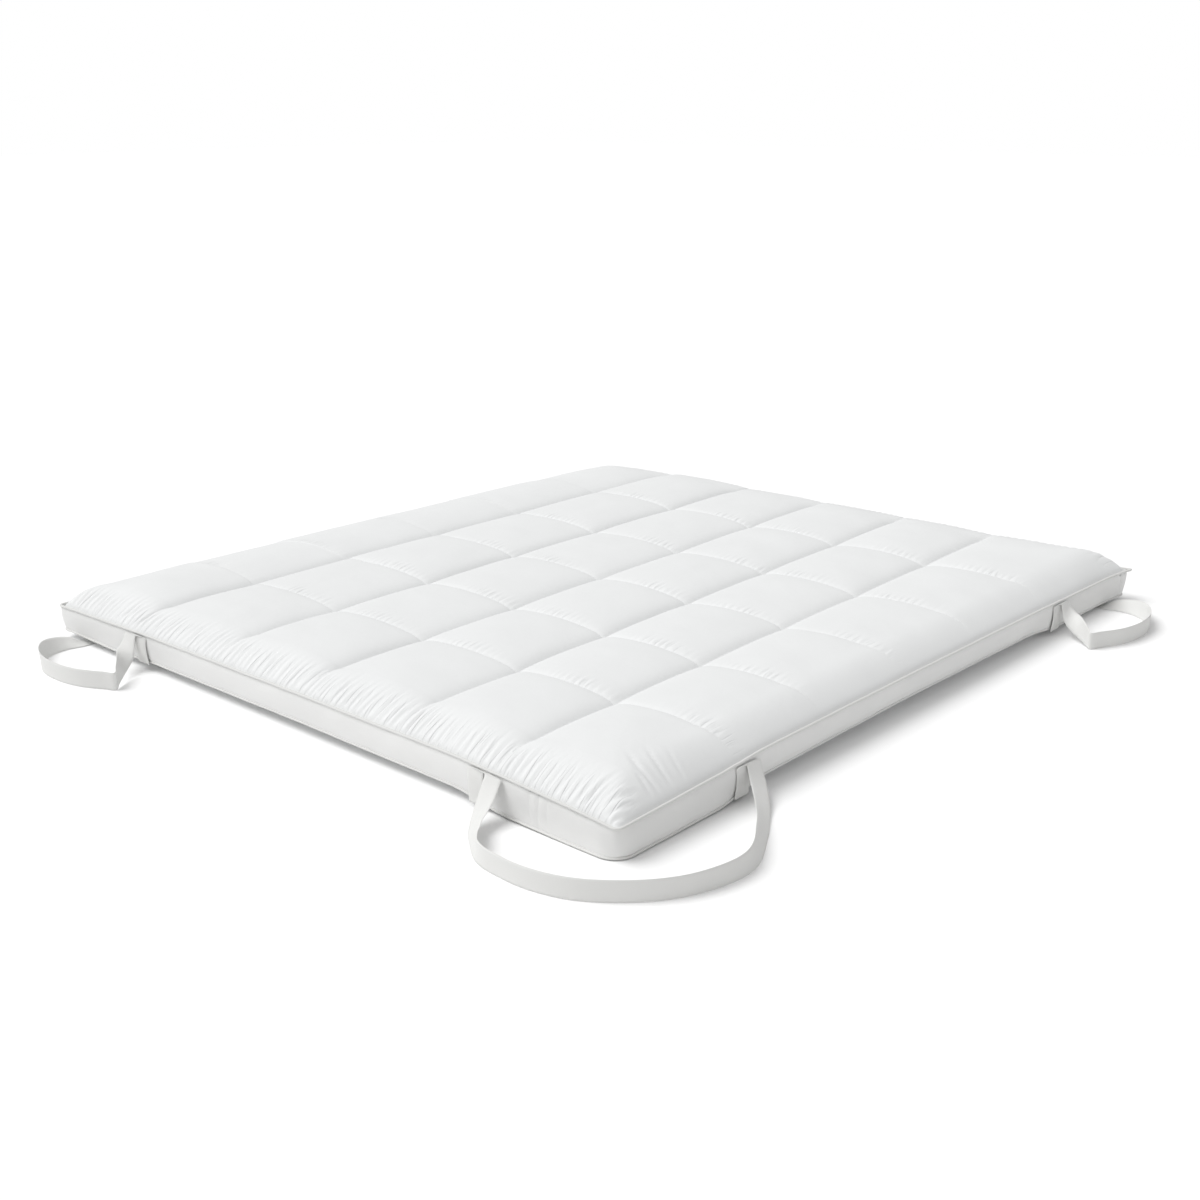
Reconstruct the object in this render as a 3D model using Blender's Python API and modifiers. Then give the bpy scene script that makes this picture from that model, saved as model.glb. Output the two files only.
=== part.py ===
"""A quilted mattress topper, 1.80 m by 2.00 m, with piped edges and an elastic strap at each corner.

Metres, +Z up. The origin is the centre of the flat underside, X runs across the
topper and Y along it. The front side is at -Y and the right side at +X.
"""

from collections import namedtuple

import bmesh
import bpy
import numpy as np

WIDTH = 1.80
LENGTH = 2.00
HALF_X = WIDTH / 2
HALF_Y = LENGTH / 2

# The filled pad: its height at the top seam, and the crown over it, of which the long and the
# cross channels take their shares away
SEAM_HEIGHT = 0.088
CROWN = 0.052
CROWN_SPAN = 0.19
CORNER_POWER = 3
CHANNEL_SPAN = 0.13
LONG_SHARE = 0.46
CROSS_SHARE = 0.16
CHANNEL_FADE = (0.015, 0.11)
EDGE_BLEND = 0.26

# How the crown rises from a side: steeply at first, by its share over its span, and then slowly
Shoulder = namedtuple("Shoulder", "span power share")
FULL_SHOULDER = Shoulder(0.048, 2.2, 0.50)
RIGHT_SHOULDER = Shoulder(0.085, 2.0, 0.60)

# Places of the quilting seams: long seams run along Y, cross seams along X
LONG_SEAMS = (-0.583, -0.276, 0.021, 0.308, 0.582)
CROSS_SEAMS = (-0.660, -0.374, -0.066, 0.247, 0.580)

# Grid lines of the pad: steps in from a corner, and out from a seam
CORNER_STEPS = (0.0, 0.012, 0.028, 0.050, 0.105, 0.190)
SEAM_STEPS = (0.018, 0.060)

# The flat underside is set in from the edge, and far more at the corners
UNDERSIDE_INSET = 0.085
UNDERSIDE_CORNER = 0.30

# Sewn edge: piping cords, and the side band between them
PIPING_RADIUS = 0.003
PIPING_CLEARANCE = 0.0043
TOP_CORNER = 0.012
HEM_CORNER = 0.018
ROUND_HEM_CORNER = 0.045
BAND_THICKNESS = 0.0016
BAND_ENDS = 0.0046
BAND_ROWS = 3
PAD_BEHIND_BAND = 0.0021

# Elastic straps. A sewn end stands off the band by the first distance at the top and the second
# at the bottom, at levels that are shares of the side's height, and folds over near the top seam
STRAP_WIDTH = 0.042
STRAP_THICKNESS = 0.0016
TAB_STAND_OFF = (0.0020, 0.0052)
TAB_LEVELS = (1.08, 0.90, 0.60, 0.30)
TAB_SAMPLES = 9
FOLD_LEVEL = 0.05
FOLD_RADIUS = 0.0022
FOLD_STEPS = 4

# A strap's fall from its fold: how far out and how far down it sets off, and how square to its
# path it stays. Then its run over the floor
FALL_OUT = 0.35
FALL_DOWN = 0.90
FALL_STEPS = 7
FALL_SQUARE = 0.9
RUN_STEPS = 3
FLOOR_GAP = 0.0005

# Shortest length that counts in a division or a comparison
TINY = 1e-9

# A side of the topper by its places along it: the top seam's rise, the height of the bottom
# seam's cord, how far that cord is tucked in, and how far the band bows out between them
Edge = namedtuple("Edge", "along rise hem tuck bow")
FRONT = (
    Edge(-0.900, -0.008, 0.0210, 0.003, 0.002),
    Edge(-0.660, -0.003, 0.0170, 0.004, 0.003),
    Edge(-0.540, 0.000, 0.0195, 0.007, 0.003),
    Edge(0.000, 0.003, 0.0190, 0.007, 0.003),
    Edge(0.498, 0.002, 0.0180, 0.007, 0.003),
    Edge(0.618, -0.003, 0.0060, 0.003, 0.003),
    Edge(0.795, -0.012, 0.0040, 0.002, 0.002),
    Edge(0.900, -0.020, 0.0045, 0.002, 0.001),
)
RIGHT = (
    Edge(-1.000, -0.020, 0.0045, 0.002, 0.001),
    Edge(-0.700, -0.011, 0.0060, 0.003, 0.003),
    Edge(-0.580, -0.004, 0.0240, 0.010, 0.003),
    Edge(-0.044, -0.003, 0.0260, 0.010, 0.003),
    Edge(0.525, -0.005, 0.0250, 0.009, 0.003),
    Edge(0.645, -0.007, 0.0150, 0.005, 0.003),
    Edge(0.895, -0.010, 0.0140, 0.003, 0.002),
    Edge(1.000, -0.007, 0.0160, 0.002, 0.001),
)
BACK = (
    Edge(-0.900, -0.028, 0.0160, 0.003, 0.002),
    Edge(-0.660, -0.018, 0.0150, 0.004, 0.003),
    Edge(-0.540, -0.013, 0.0190, 0.008, 0.003),
    Edge(0.000, -0.006, 0.0200, 0.008, 0.003),
    Edge(0.498, -0.001, 0.0190, 0.008, 0.003),
    Edge(0.618, -0.003, 0.0150, 0.004, 0.003),
    Edge(0.900, -0.007, 0.0160, 0.002, 0.001),
)
LEFT = (
    Edge(-1.000, -0.008, 0.0210, 0.003, 0.002),
    Edge(-0.700, -0.006, 0.0170, 0.004, 0.003),
    Edge(-0.580, -0.006, 0.0210, 0.009, 0.003),
    Edge(0.000, -0.012, 0.0220, 0.009, 0.003),
    Edge(0.525, -0.019, 0.0200, 0.009, 0.003),
    Edge(0.645, -0.021, 0.0160, 0.004, 0.003),
    Edge(1.000, -0.028, 0.0160, 0.003, 0.002),
)

# A knot of a strap's run over the floor, in metres from the corner along its first and its
# second side, negative outside. The strap stands on edge at lean 0, and lies flat at 90 with
# its upper edge outwards; a negative lean takes that edge inwards.
Knot = namedtuple("Knot", "first second lean")
ROUND_THE_CORNER = (
    Knot(0.268, -0.098, -38),
    Knot(0.194, -0.151, -6),
    Knot(0.121, -0.164, 0),
    Knot(0.051, -0.162, 0),
    Knot(-0.019, -0.141, 0),
    Knot(-0.081, -0.099, 0),
    Knot(-0.132, -0.045, 0),
    Knot(-0.166, 0.018, 0),
    Knot(-0.186, 0.101, -6),
    Knot(-0.177, 0.170, -18),
    Knot(-0.131, 0.257, -30),
)
UNDER_THE_CORNER = (
    Knot(0.420, -0.115, 0),
    Knot(0.342, -0.156, 0),
    Knot(0.270, -0.170, 0),
    Knot(0.200, -0.165, 0),
    Knot(0.146, -0.138, 8),
    Knot(0.110, -0.092, 30),
    Knot(0.100, -0.045, 55),
    Knot(0.108, 0.000, 84),
    Knot(0.090, 0.065, 90),
    Knot(0.035, 0.140, 90),
    Knot(-0.030, 0.205, 88),
    Knot(-0.070, 0.262, 80),
)

# A strap by its corner: which way the first and second sides run from the corner, where
# each end's tab is sewn, and where the strap leaves the seam, both measured from the corner
Strap = namedtuple("Strap", "name corner first second knots tabs leaves")
STRAPS = (
    Strap("strap_front_right", (HALF_X, -HALF_Y), (-1, 0), (0, 1), ROUND_THE_CORNER,
          (0.345, 0.352), (0.296, 0.378)),
    Strap("strap_front_left", (-HALF_X, -HALF_Y), (1, 0), (0, 1), UNDER_THE_CORNER,
          (0.352, 0.345), (0.318, 0.318)),
    Strap("strap_back_right", (HALF_X, HALF_Y), (0, -1), (-1, 0), UNDER_THE_CORNER,
          (0.372, 0.345), (0.340, 0.318)),
    Strap("strap_back_left", (-HALF_X, HALF_Y), (1, 0), (0, -1), UNDER_THE_CORNER,
          (0.352, 0.345), (0.318, 0.318)),
)

# Finishes by name: linear colour and roughness
FINISHES = {
    "top_cloth": ((0.86, 0.87, 0.87), 0.75),
    "band_cloth": ((0.80, 0.81, 0.80), 0.80),
    "piping_cord": ((0.84, 0.85, 0.84), 0.70),
    "strap_elastic": ((0.76, 0.76, 0.75), 0.85),
}


def clear_scene():
    for obj in list(bpy.data.objects):
        bpy.data.objects.remove(obj, do_unlink=True)


def finish(name):
    """The material of this name, made on its first use."""
    material = bpy.data.materials.get(name)
    if material is None:
        colour, roughness = FINISHES[name]
        material = bpy.data.materials.new(name)
        material.use_nodes = True
        shader = material.node_tree.nodes["Principled BSDF"]
        shader.inputs["Base Color"].default_value = (*colour, 1.0)
        shader.inputs["Roughness"].default_value = roughness
        shader.inputs["Metallic"].default_value = 0.0
    return material


def add_object(name, data, material, collection):
    obj = bpy.data.objects.new(name, data)
    data.materials.append(finish(material))
    collection.objects.link(obj)
    return obj


def add_mesh(name, bm, material, collection):
    """An object of this bmesh, whose four-sided faces are split along the shorter diagonal."""
    folded = [face for face in bm.faces if len(face.verts) == 4]
    bmesh.ops.triangulate(bm, faces=folded, quad_method="SHORT_EDGE")
    bmesh.ops.recalc_face_normals(bm, faces=bm.faces[:])
    mesh = bpy.data.meshes.new(name)
    bm.to_mesh(mesh)
    bm.free()
    mesh.shade_smooth()
    return add_object(name, mesh, material, collection)


def grid_surface(points):
    """A bmesh grid whose vertices are moved to points[row, column]."""
    rows, columns = points.shape[0] - 1, points.shape[1] - 1
    bm = bmesh.new()
    bmesh.ops.create_grid(bm, x_segments=columns, y_segments=rows, size=0.5)
    for vertex in bm.verts:
        column = round((vertex.co.x + 0.5) * columns)
        row = round((vertex.co.y + 0.5) * rows)
        vertex.co = points[row, column]
    return bm


def solidify(obj, thickness):
    shell = obj.modifiers.new("Thickness", "SOLIDIFY")
    shell.thickness = thickness
    shell.offset = 0.0


def grid_lines(half, seams):
    """Places of the pad's grid lines across one direction, from one edge to the other."""
    lines = [-half + step for step in CORNER_STEPS] + [half - step for step in CORNER_STEPS]
    for seam in seams:
        lines.append(seam)
        lines += [seam + side * step for step in SEAM_STEPS for side in (-1, 1)]
    bounds = (-half,) + tuple(seams) + (half,)
    inner = zip(bounds[1:-2], bounds[2:-1])
    lines += [(start + end) / 2 for start, end in inner]
    return np.array(sorted(lines))


LINES_X = grid_lines(HALF_X, LONG_SEAMS)
LINES_Y = grid_lines(HALF_Y, CROSS_SEAMS)


def table(rows, along, column):
    places = [row.along for row in rows]
    return np.interp(along, places, [getattr(row, column) for row in rows])


def edge_value(x, y, column):
    """A column of the side tables at a place (x, y) on the nominal outline."""
    along_x = np.where(y < 0, table(FRONT, x, column), table(BACK, x, column))
    along_y = np.where(x < 0, table(LEFT, y, column), table(RIGHT, y, column))
    return np.where(np.abs(y) > HALF_Y - TINY, along_x, along_y)


def rounded(x, y, inset, radius):
    """Places (x, y), and the outward directions there, on an outline set in and rounded."""
    centre_x, centre_y = HALF_X - inset - radius, HALF_Y - inset - radius
    out_x = np.clip((np.minimum(np.abs(x), HALF_X - inset) - centre_x) / radius, 0, 1)
    out_y = np.clip((np.minimum(np.abs(y), HALF_Y - inset) - centre_y) / radius, 0, 1)
    reach = np.hypot(out_x, out_y)
    scale = np.maximum(out_x, out_y) / np.maximum(reach, TINY)
    inner_x = np.minimum(np.abs(x), centre_x)
    inner_y = np.minimum(np.abs(y), centre_y)
    place = (np.sign(x) * (inner_x + out_x * scale * radius),
             np.sign(y) * (inner_y + out_y * scale * radius))
    normal = (np.sign(x) * out_x / np.maximum(reach, TINY),
              np.sign(y) * out_y / np.maximum(reach, TINY))
    return place, normal


def seam_rise(x, y):
    """The top seams' unevenness carried into the top, fading over EDGE_BLEND from each side."""
    def near(distance):
        return np.clip(1 - distance / EDGE_BLEND, 0, 1) ** 2

    front, back = near(HALF_Y + y), near(HALF_Y - y)
    left, right = near(HALF_X + x), near(HALF_X - x)
    rise = front * table(FRONT, x, "rise") + back * table(BACK, x, "rise")
    rise += left * table(LEFT, y, "rise") + right * table(RIGHT, y, "rise")
    for across, along, row in ((left, front, FRONT[0]), (right, front, FRONT[-1]),
                               (left, back, BACK[0]), (right, back, BACK[-1])):
        rise -= across * along * row.rise
    return rise


def channel(places, seams, edge_distance):
    """How deep a sewn channel is at these places, 1 on its seam, fading towards the edge."""
    distance = np.min([np.abs(places - seam) for seam in seams], axis=0)
    start, end = CHANNEL_FADE
    fade = np.clip((edge_distance - start) / (end - start), 0, 1)
    return np.clip(1 - distance / CHANNEL_SPAN, 0, 1) ** 2 * fade


def top_height(x, y):
    """The quilted top: a crown that falls away at each side's shoulder and is drawn down along the
    sewn channels. Where two shoulders meet, a power sum of their falls keeps the corner full."""
    fall = 0.0
    for distance, shoulder in ((HALF_Y + y, FULL_SHOULDER), (HALF_X - x, RIGHT_SHOULDER),
                               (HALF_Y - y, FULL_SHOULDER), (HALF_X + x, FULL_SHOULDER)):
        steep = np.clip(1 - distance / shoulder.span, 0, 1) ** shoulder.power
        slow = np.clip(1 - distance / CROWN_SPAN, 0, 1) ** 2
        fall = fall + (shoulder.share * steep + (1 - shoulder.share) * slow) ** CORNER_POWER
    full = np.clip(1 - fall ** (1 / CORNER_POWER), 0, 1)
    full = full * (1 - LONG_SHARE * channel(x, LONG_SEAMS, HALF_Y - np.abs(y)))
    full = full * (1 - CROSS_SHARE * channel(y, CROSS_SEAMS, HALF_X - np.abs(x)))
    return SEAM_HEIGHT + seam_rise(x, y) + CROWN * full


def seam_place(x, y, inset=0.0):
    """The top seam's line at nominal outline places, or a line set in from it."""
    (px, py), _ = rounded(x, y, inset, TOP_CORNER - inset)
    height = SEAM_HEIGHT + edge_value(x, y, "rise")
    return np.stack([px, py, height + 0 * px], axis=-1)


def hem_corner(x, y):
    """The hem's corner radius nearest to a place: the front right corner is the round one."""
    return np.where((x > 0) & (y < 0), ROUND_HEM_CORNER, HEM_CORNER)


def hem_place(x, y):
    """The bottom seam's line at nominal outline places, tucked in under the top one."""
    (px, py), _ = rounded(x, y, edge_value(x, y, "tuck"), hem_corner(x, y))
    return np.stack([px, py, edge_value(x, y, "hem") + 0 * px], axis=-1)


def side_directions(x, y):
    """The level direction out of the side, and the direction square to the side and inwards."""
    _, (out_x, out_y) = rounded(x, y, edge_value(x, y, "tuck"), hem_corner(x, y))
    out = np.stack([out_x, out_y, 0 * out_x], axis=-1)
    slope = hem_place(x, y) - seam_place(x, y)
    slope /= np.linalg.norm(slope, axis=-1, keepdims=True)
    drawn_in = -np.sum(slope * out, axis=-1, keepdims=True)
    return out, slope[..., 2:] * out + drawn_in * np.array([0.0, 0.0, 1.0])


def side_place(x, y, share, inside=0.0):
    """The side at a share of its height down from the top seam, bowed out, or a line behind it."""
    top, hem = seam_place(x, y), hem_place(x, y)
    out, inwards = side_directions(x, y)
    share = np.asarray(share)[..., None]
    bow = edge_value(x, y, "bow")[..., None] * 4 * share * (1 - share)
    return top + (hem - top) * share + out * bow + inwards * inside


def band_shares(x, y):
    """The shares of the side's height at which the band starts and ends, clear of the cords."""
    height = np.linalg.norm(hem_place(x, y) - seam_place(x, y), axis=-1)
    return BAND_ENDS / height, 1 - BAND_ENDS / height


def outline():
    """The nominal outline's places in order, one for each end of the pad's grid lines."""
    front = [(x, -HALF_Y) for x in LINES_X[:-1]]
    right = [(HALF_X, y) for y in LINES_Y[:-1]]
    back = [(x, HALF_Y) for x in LINES_X[:0:-1]]
    left = [(-HALF_X, y) for y in LINES_Y[:0:-1]]
    return np.array(front + right + back + left).T


def make_pad(collection):
    """The filled pad: a quilted top, drawn-in sides and a flat underside."""
    x, y = np.meshgrid(LINES_X, LINES_Y)
    (px, py), _ = rounded(x, y, PIPING_CLEARANCE, TOP_CORNER - PIPING_CLEARANCE)
    bm = grid_surface(np.stack([px, py, top_height(x, y)], axis=-1))
    nominal = bm.verts.layers.float_vector.new("nominal")
    flat = grid_surface(np.stack([x, y, 0 * x], axis=-1))
    for vertex, place in zip(bm.verts, flat.verts):
        vertex[nominal] = place.co
    flat.free()

    def ring(place_of):
        """Extrudes the open edge once, and moves the new vertices to place_of(x, y)."""
        open_edges = [edge for edge in bm.edges if edge.is_boundary]
        made = bmesh.ops.extrude_edge_only(bm, edges=open_edges)["geom"]
        for vertex in (item for item in made if isinstance(item, bmesh.types.BMVert)):
            x, y = (np.array(round(value, 6)) for value in vertex[nominal][:2])
            vertex.co = place_of(x, y)

    def band_back(step):
        def place(x, y):
            start, end = band_shares(x, y)
            return side_place(x, y, start + (end - start) * step / BAND_ROWS, PAD_BEHIND_BAND)
        return place

    for step in range(BAND_ROWS + 1):
        ring(band_back(step))
    ring(lambda x, y: side_place(x, y, 1.0, PIPING_CLEARANCE))
    ring(lambda x, y: (*rounded(x, y, UNDERSIDE_INSET, UNDERSIDE_CORNER)[0], 0.0))
    bmesh.ops.edgeloop_fill(bm, edges=[edge for edge in bm.edges if edge.is_boundary])
    return add_mesh("filled_pad", bm, "top_cloth", collection)


def make_band(collection):
    """The side band: one strip of cloth round the pad, between the two piping cords."""
    x, y = outline()
    start, end = band_shares(x, y)
    rows = [side_place(x, y, start + (end - start) * step / BAND_ROWS)
            for step in range(BAND_ROWS + 1)]
    points = np.array(rows)
    points = np.concatenate([points, points[:, :1]], axis=1)
    bm = grid_surface(points)
    bmesh.ops.remove_doubles(bm, verts=bm.verts[:], dist=1e-6)
    band = add_mesh("side_band", bm, "band_cloth", collection)
    solidify(band, BAND_THICKNESS)
    return band


def make_piping(name, places, collection):
    """A closed piping cord through these places."""
    curve = bpy.data.curves.new(name, "CURVE")
    curve.dimensions = "3D"
    curve.bevel_depth = PIPING_RADIUS
    curve.bevel_resolution = 1
    spline = curve.splines.new("POLY")
    spline.points.add(len(places) - 1)
    for point, place in zip(spline.points, places):
        point.co = (*place, 1.0)
    spline.use_cyclic_u = True
    return add_object(name, curve, "piping_cord", collection)


def tab_stations(strap, end):
    """A strap's sewn end, from below the hem up over the band and folded at the top seam."""
    side = np.array(strap.first if end == 0 else strap.second, float)
    out = -np.array(strap.second if end == 0 else strap.first, float)
    corner = np.array(strap.corner, float)
    half = STRAP_WIDTH / 2
    tab, leave = strap.tabs[end], strap.leaves[end]
    samples = corner + np.linspace(tab - half, tab + half, TAB_SAMPLES)[:, None] * side
    x, y = samples[:, 0], samples[:, 1]

    def station(along, outward, height):
        """The two long edges of the strap there, the one away from the corner first."""
        pair = [corner + (along + reach) * side + outward * out for reach in (half, -half)]
        return np.array([(*place, height) for place in pair])

    def outward_of(share):
        return float(np.max((side_place(x, y, min(share, 1))[:, :2] - samples) @ out))

    stations = []
    for share in TAB_LEVELS:
        near, far = TAB_STAND_OFF
        stand_off = near + (far - near) * min(share, 1)
        place = side_place(*samples[TAB_SAMPLES // 2], share)
        stations.append(station(tab, outward_of(share) + stand_off, float(place[2])))
    top = SEAM_HEIGHT + float(np.min(edge_value(x, y, "rise")))
    height = top - PIPING_RADIUS - FOLD_RADIUS - STRAP_THICKNESS
    outward = outward_of(FOLD_LEVEL) + TAB_STAND_OFF[0]
    for step in range(FOLD_STEPS + 1):
        angle = np.pi * step / FOLD_STEPS
        along = tab + (leave - tab) * step / FOLD_STEPS
        stations.append(station(along, outward + FOLD_RADIUS * (1 - np.cos(angle)),
                                height + FOLD_RADIUS * np.sin(angle)))
    return stations, np.array((*out, 0.0))


def run_stations(strap):
    """The strap's run over the floor, on a smooth curve through its knots."""
    corner = np.array(strap.corner, float)
    axes = np.array([strap.first, strap.second], float)
    local = smooth(np.array(strap.knots, float), RUN_STEPS)
    heading = np.gradient(local[:, :2], axis=0)
    heading /= np.linalg.norm(heading, axis=1, keepdims=True)
    left_of = np.stack([-heading[:, 1], heading[:, 0]], axis=1)
    lean = np.radians(local[:, 2])[:, None]
    low = np.concatenate([corner + local[:, :2] @ axes,
                          STRAP_THICKNESS / 2 * np.abs(np.sin(lean)) + FLOOR_GAP], axis=1)
    across = np.concatenate([(left_of * np.sin(lean)) @ axes, np.cos(lean)], axis=1)
    return [np.array([place, place + STRAP_WIDTH * side]) for place, side in zip(low, across)]


def smooth(values, steps):
    """A Catmull-Rom curve through the values, with this many steps from each to the next."""
    padded = np.concatenate([2 * values[:1] - values[1:2], values, 2 * values[-1:] - values[-2:-1]])
    fine = np.linspace(0, len(values) - 1, steps * (len(values) - 1) + 1)
    index = np.minimum(fine.astype(int), len(values) - 2)
    t = (fine - index)[:, None]
    a, b, c, d = (padded[index + shift] for shift in range(4))
    return 0.5 * (2 * b + (c - a) * t + (2 * a - 5 * b + 4 * c - d) * t**2
                  + (3 * b - a - 3 * c + d) * t**3)


def fall_stations(fold, start_heading, landing, landing_heading):
    """The strap between its fold at the seam and its first place on the floor."""
    start, end = fold.mean(axis=0), landing.mean(axis=0)
    reach = np.linalg.norm(end - start)
    across = [(pair[1] - pair[0]) / STRAP_WIDTH for pair in (fold, landing)]
    stations = []
    shares = np.linspace(0, 1, FALL_STEPS + 2)[:, None]
    centres = ((2 * shares**3 - 3 * shares**2 + 1) * start + (3 * shares**2 - 2 * shares**3) * end
               + (shares**3 - 2 * shares**2 + shares) * reach * start_heading
               + (shares**3 - shares**2) * reach * landing_heading)
    headings = np.gradient(centres, axis=0)
    headings /= np.linalg.norm(headings, axis=1, keepdims=True)
    for share, centre, heading in list(zip(shares[:, 0], centres, headings))[1:-1]:
        side = (1 - share) * across[0] + share * across[1]
        side -= FALL_SQUARE * np.sin(np.pi * share) * np.dot(side, heading) * heading
        side /= np.linalg.norm(side)
        pair = np.array([centre - side * STRAP_WIDTH / 2, centre + side * STRAP_WIDTH / 2])
        least = FLOOR_GAP + STRAP_THICKNESS / 2 * np.hypot(side[0], side[1])
        pair[:, 2] += max(0.0, least - pair[:, 2].min())
        stations.append(pair)
    return stations


def make_strap(strap, collection):
    """One elastic strap: sewn end, fall to the floor, run round or under the corner, and back."""
    run = run_stations(strap)
    ends = []
    for end, (landing, beyond) in enumerate(((run[0], run[1]), (run[-1], run[-2]))):
        stations, out = tab_stations(strap, end)
        start_heading = FALL_OUT * out - np.array([0.0, 0.0, FALL_DOWN])
        towards = landing.mean(axis=0) - stations[-1].mean(axis=0)
        landing_heading = beyond.mean(axis=0) - landing.mean(axis=0)
        if end == 0 and strap.knots is UNDER_THE_CORNER:
            landing_heading = towards
        landing_heading = landing_heading / np.linalg.norm(landing_heading)
        fall = fall_stations(stations[-1], start_heading, landing, landing_heading)
        ends.append(stations + fall)
    stations = np.array(ends[0] + run + ends[1][::-1])
    strap_object = add_mesh(strap.name, grid_surface(stations), "strap_elastic", collection)
    solidify(strap_object, STRAP_THICKNESS)
    return strap_object


def main():
    clear_scene()
    collection = bpy.data.collections.new("Mattress topper")
    bpy.context.scene.collection.children.link(collection)
    make_pad(collection)
    make_band(collection)
    make_piping("piping_top", seam_place(*outline()), collection)
    make_piping("piping_bottom", hem_place(*outline()), collection)
    for strap in STRAPS:
        make_strap(strap, collection)


main()
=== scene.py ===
"""Looks of a quilted mattress topper: percale cloth, piping, stitching and elastic corner straps.

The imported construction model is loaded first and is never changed. Each soft piece made here
stands for one of its solids and lies where that solid lies. Metres, +Z up, with the origin at the
centre of the flat underside, the front side at -Y and the right side at +X. New surfaces are
worked out with numpy from two parameters, a place along the piece and a place across it.
"""

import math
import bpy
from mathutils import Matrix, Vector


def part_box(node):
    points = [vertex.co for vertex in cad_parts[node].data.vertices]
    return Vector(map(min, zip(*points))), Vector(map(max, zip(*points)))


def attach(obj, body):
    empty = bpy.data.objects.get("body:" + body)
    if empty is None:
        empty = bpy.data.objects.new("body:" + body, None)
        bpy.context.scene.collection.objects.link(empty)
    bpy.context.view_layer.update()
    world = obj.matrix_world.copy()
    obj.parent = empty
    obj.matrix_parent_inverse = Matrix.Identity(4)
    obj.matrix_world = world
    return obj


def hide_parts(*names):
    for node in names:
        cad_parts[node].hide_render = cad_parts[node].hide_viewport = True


bl_info = {
    "name": "Quilted Mattress Topper",
    "version": (1, 0, 0),
    "blender": (4, 5, 0),
    "location": "View3D > Sidebar > Topper",
    "description": "A quilted, piped mattress topper with an elastic strap at each corner",
    "category": "Add Mesh",
}

from collections import namedtuple

import bmesh
import bpy
import numpy as np
from bpy.props import FloatProperty, FloatVectorProperty, PointerProperty
from mathutils import Vector

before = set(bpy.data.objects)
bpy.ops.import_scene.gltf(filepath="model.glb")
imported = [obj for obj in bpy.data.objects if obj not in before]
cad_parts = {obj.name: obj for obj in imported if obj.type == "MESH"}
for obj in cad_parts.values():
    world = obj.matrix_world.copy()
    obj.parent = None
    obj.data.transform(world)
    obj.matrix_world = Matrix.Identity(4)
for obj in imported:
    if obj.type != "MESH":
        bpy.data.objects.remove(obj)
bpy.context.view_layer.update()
BODY = "root"

# Half the topper's width and length, the least that counts in a division, and how close vertices
# are merged
HALF_X = 0.90
HALF_Y = 1.00
TINY = 1e-9
WELD_DISTANCE = 1e-6

# The quilted top: its seam's height and its crown's top, how far in from the sides the crown and
# the channels reach their full size, the power by which the sides join at a corner, the groove
# inside the cord by its depth and reach, and how far in the seam's unevenness is felt
SEAM_HEIGHT = 0.088
PAD_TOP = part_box("filled_pad")[1].z
CROWN_SPAN = 0.19
CORNER_POWER = 5
CHANNEL_FADE = (0.015, 0.11)
GROOVE = (0.0045, 0.006)
EDGE_BLEND = 0.26
LONG_SEAMS = (-0.583, -0.276, 0.021, 0.308, 0.582)
CROSS_SEAMS = (-0.660, -0.374, -0.066, 0.247, 0.580)

# How the crown rises from each side: first steeply by its share over its span, then slowly
Shoulder = namedtuple("Shoulder", "span power share")
SHOULDERS = {
    "front": Shoulder(0.100, 1.8, 0.50),
    "right": Shoulder(0.085, 2.0, 0.60),
    "back": Shoulder(0.048, 2.2, 0.50),
    "left": Shoulder(0.048, 2.2, 0.50),
}

# A sewn channel: the reach of its hollow, and its stitches' dip by share and reach
Channel = namedtuple("Channel", "hollow stitch_share stitch_reach")
LONG_CHANNEL = Channel(0.145, 0.45, 0.012)
CROSS_CHANNEL = Channel(0.120, 0.45, 0.007)

# How strongly the cross seams draw the top down, by the place across it
CROSS_STRENGTH = ((-0.90, 0.06), (-0.60, 0.26), (-0.50, 0.90), (0.60, 1.00), (0.78, 0.80),
                  (0.90, 0.50))

# How far each long seam slants across for each metre along, about a place along the topper
SEAM_SLANTS = (0.007, -0.006, -0.020, -0.031, -0.028)
SLANT_ABOUT = -0.20

# How far the quilting wanders, the span of its waves, and where inside the edge it does so fully
WANDER = 0.0030
WANDER_SPAN = 0.21
WANDER_EDGE = 0.10

# The filling: the least and the most that a cell is stuffed, and its lumps by height and span
CELL_FILL = (0.94, 1.03)
LUMPS = ((0.0016, 0.11), (0.0007, 0.045))

# Grid spacing on the top: finest at a seam or edge, widest, and growth with the distance from it.
# Rows in the gather zones have closer places, and the crease zone along Y has closer rows
SPACING_X = (0.0022, 0.0105, 0.15)
SPACING_Y = (0.0022, 0.0160, 0.15)
GATHER_SPACING = 0.0038
EDGE_GATHER_ZONE = 0.100
SEAM_GATHER_ZONE = (-0.004, 0.052)
CREASE_ZONE = (-0.905, -0.740)
CREASE_SPACING = 0.0038

# A trough's raised lips: their height by its depth, and their place and width by its half width
LIP_HEIGHT = 0.42
LIP_PLACE = 1.9
LIP_WIDTH = 0.9

# The gathers of a kind of seam: how far from its ends they stop, their pitch by the usual one,
# their lengths, their half widths by the usual pitch and their depths by the usual depth, each
# as the least and what a draw adds at most, and where they start
Gathers = namedtuple("Gathers", "margin pitch length width depth start")
EDGE_GATHERS = Gathers(0.03, 1.00, (0.070, 0.040), (0.21, 0.09), (0.60, 0.60), 0.003)
SEAM_GATHERS = Gathers(0.05, 0.95, (0.030, 0.030), (0.20, 0.08), (0.35, 0.45), -0.002)

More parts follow.
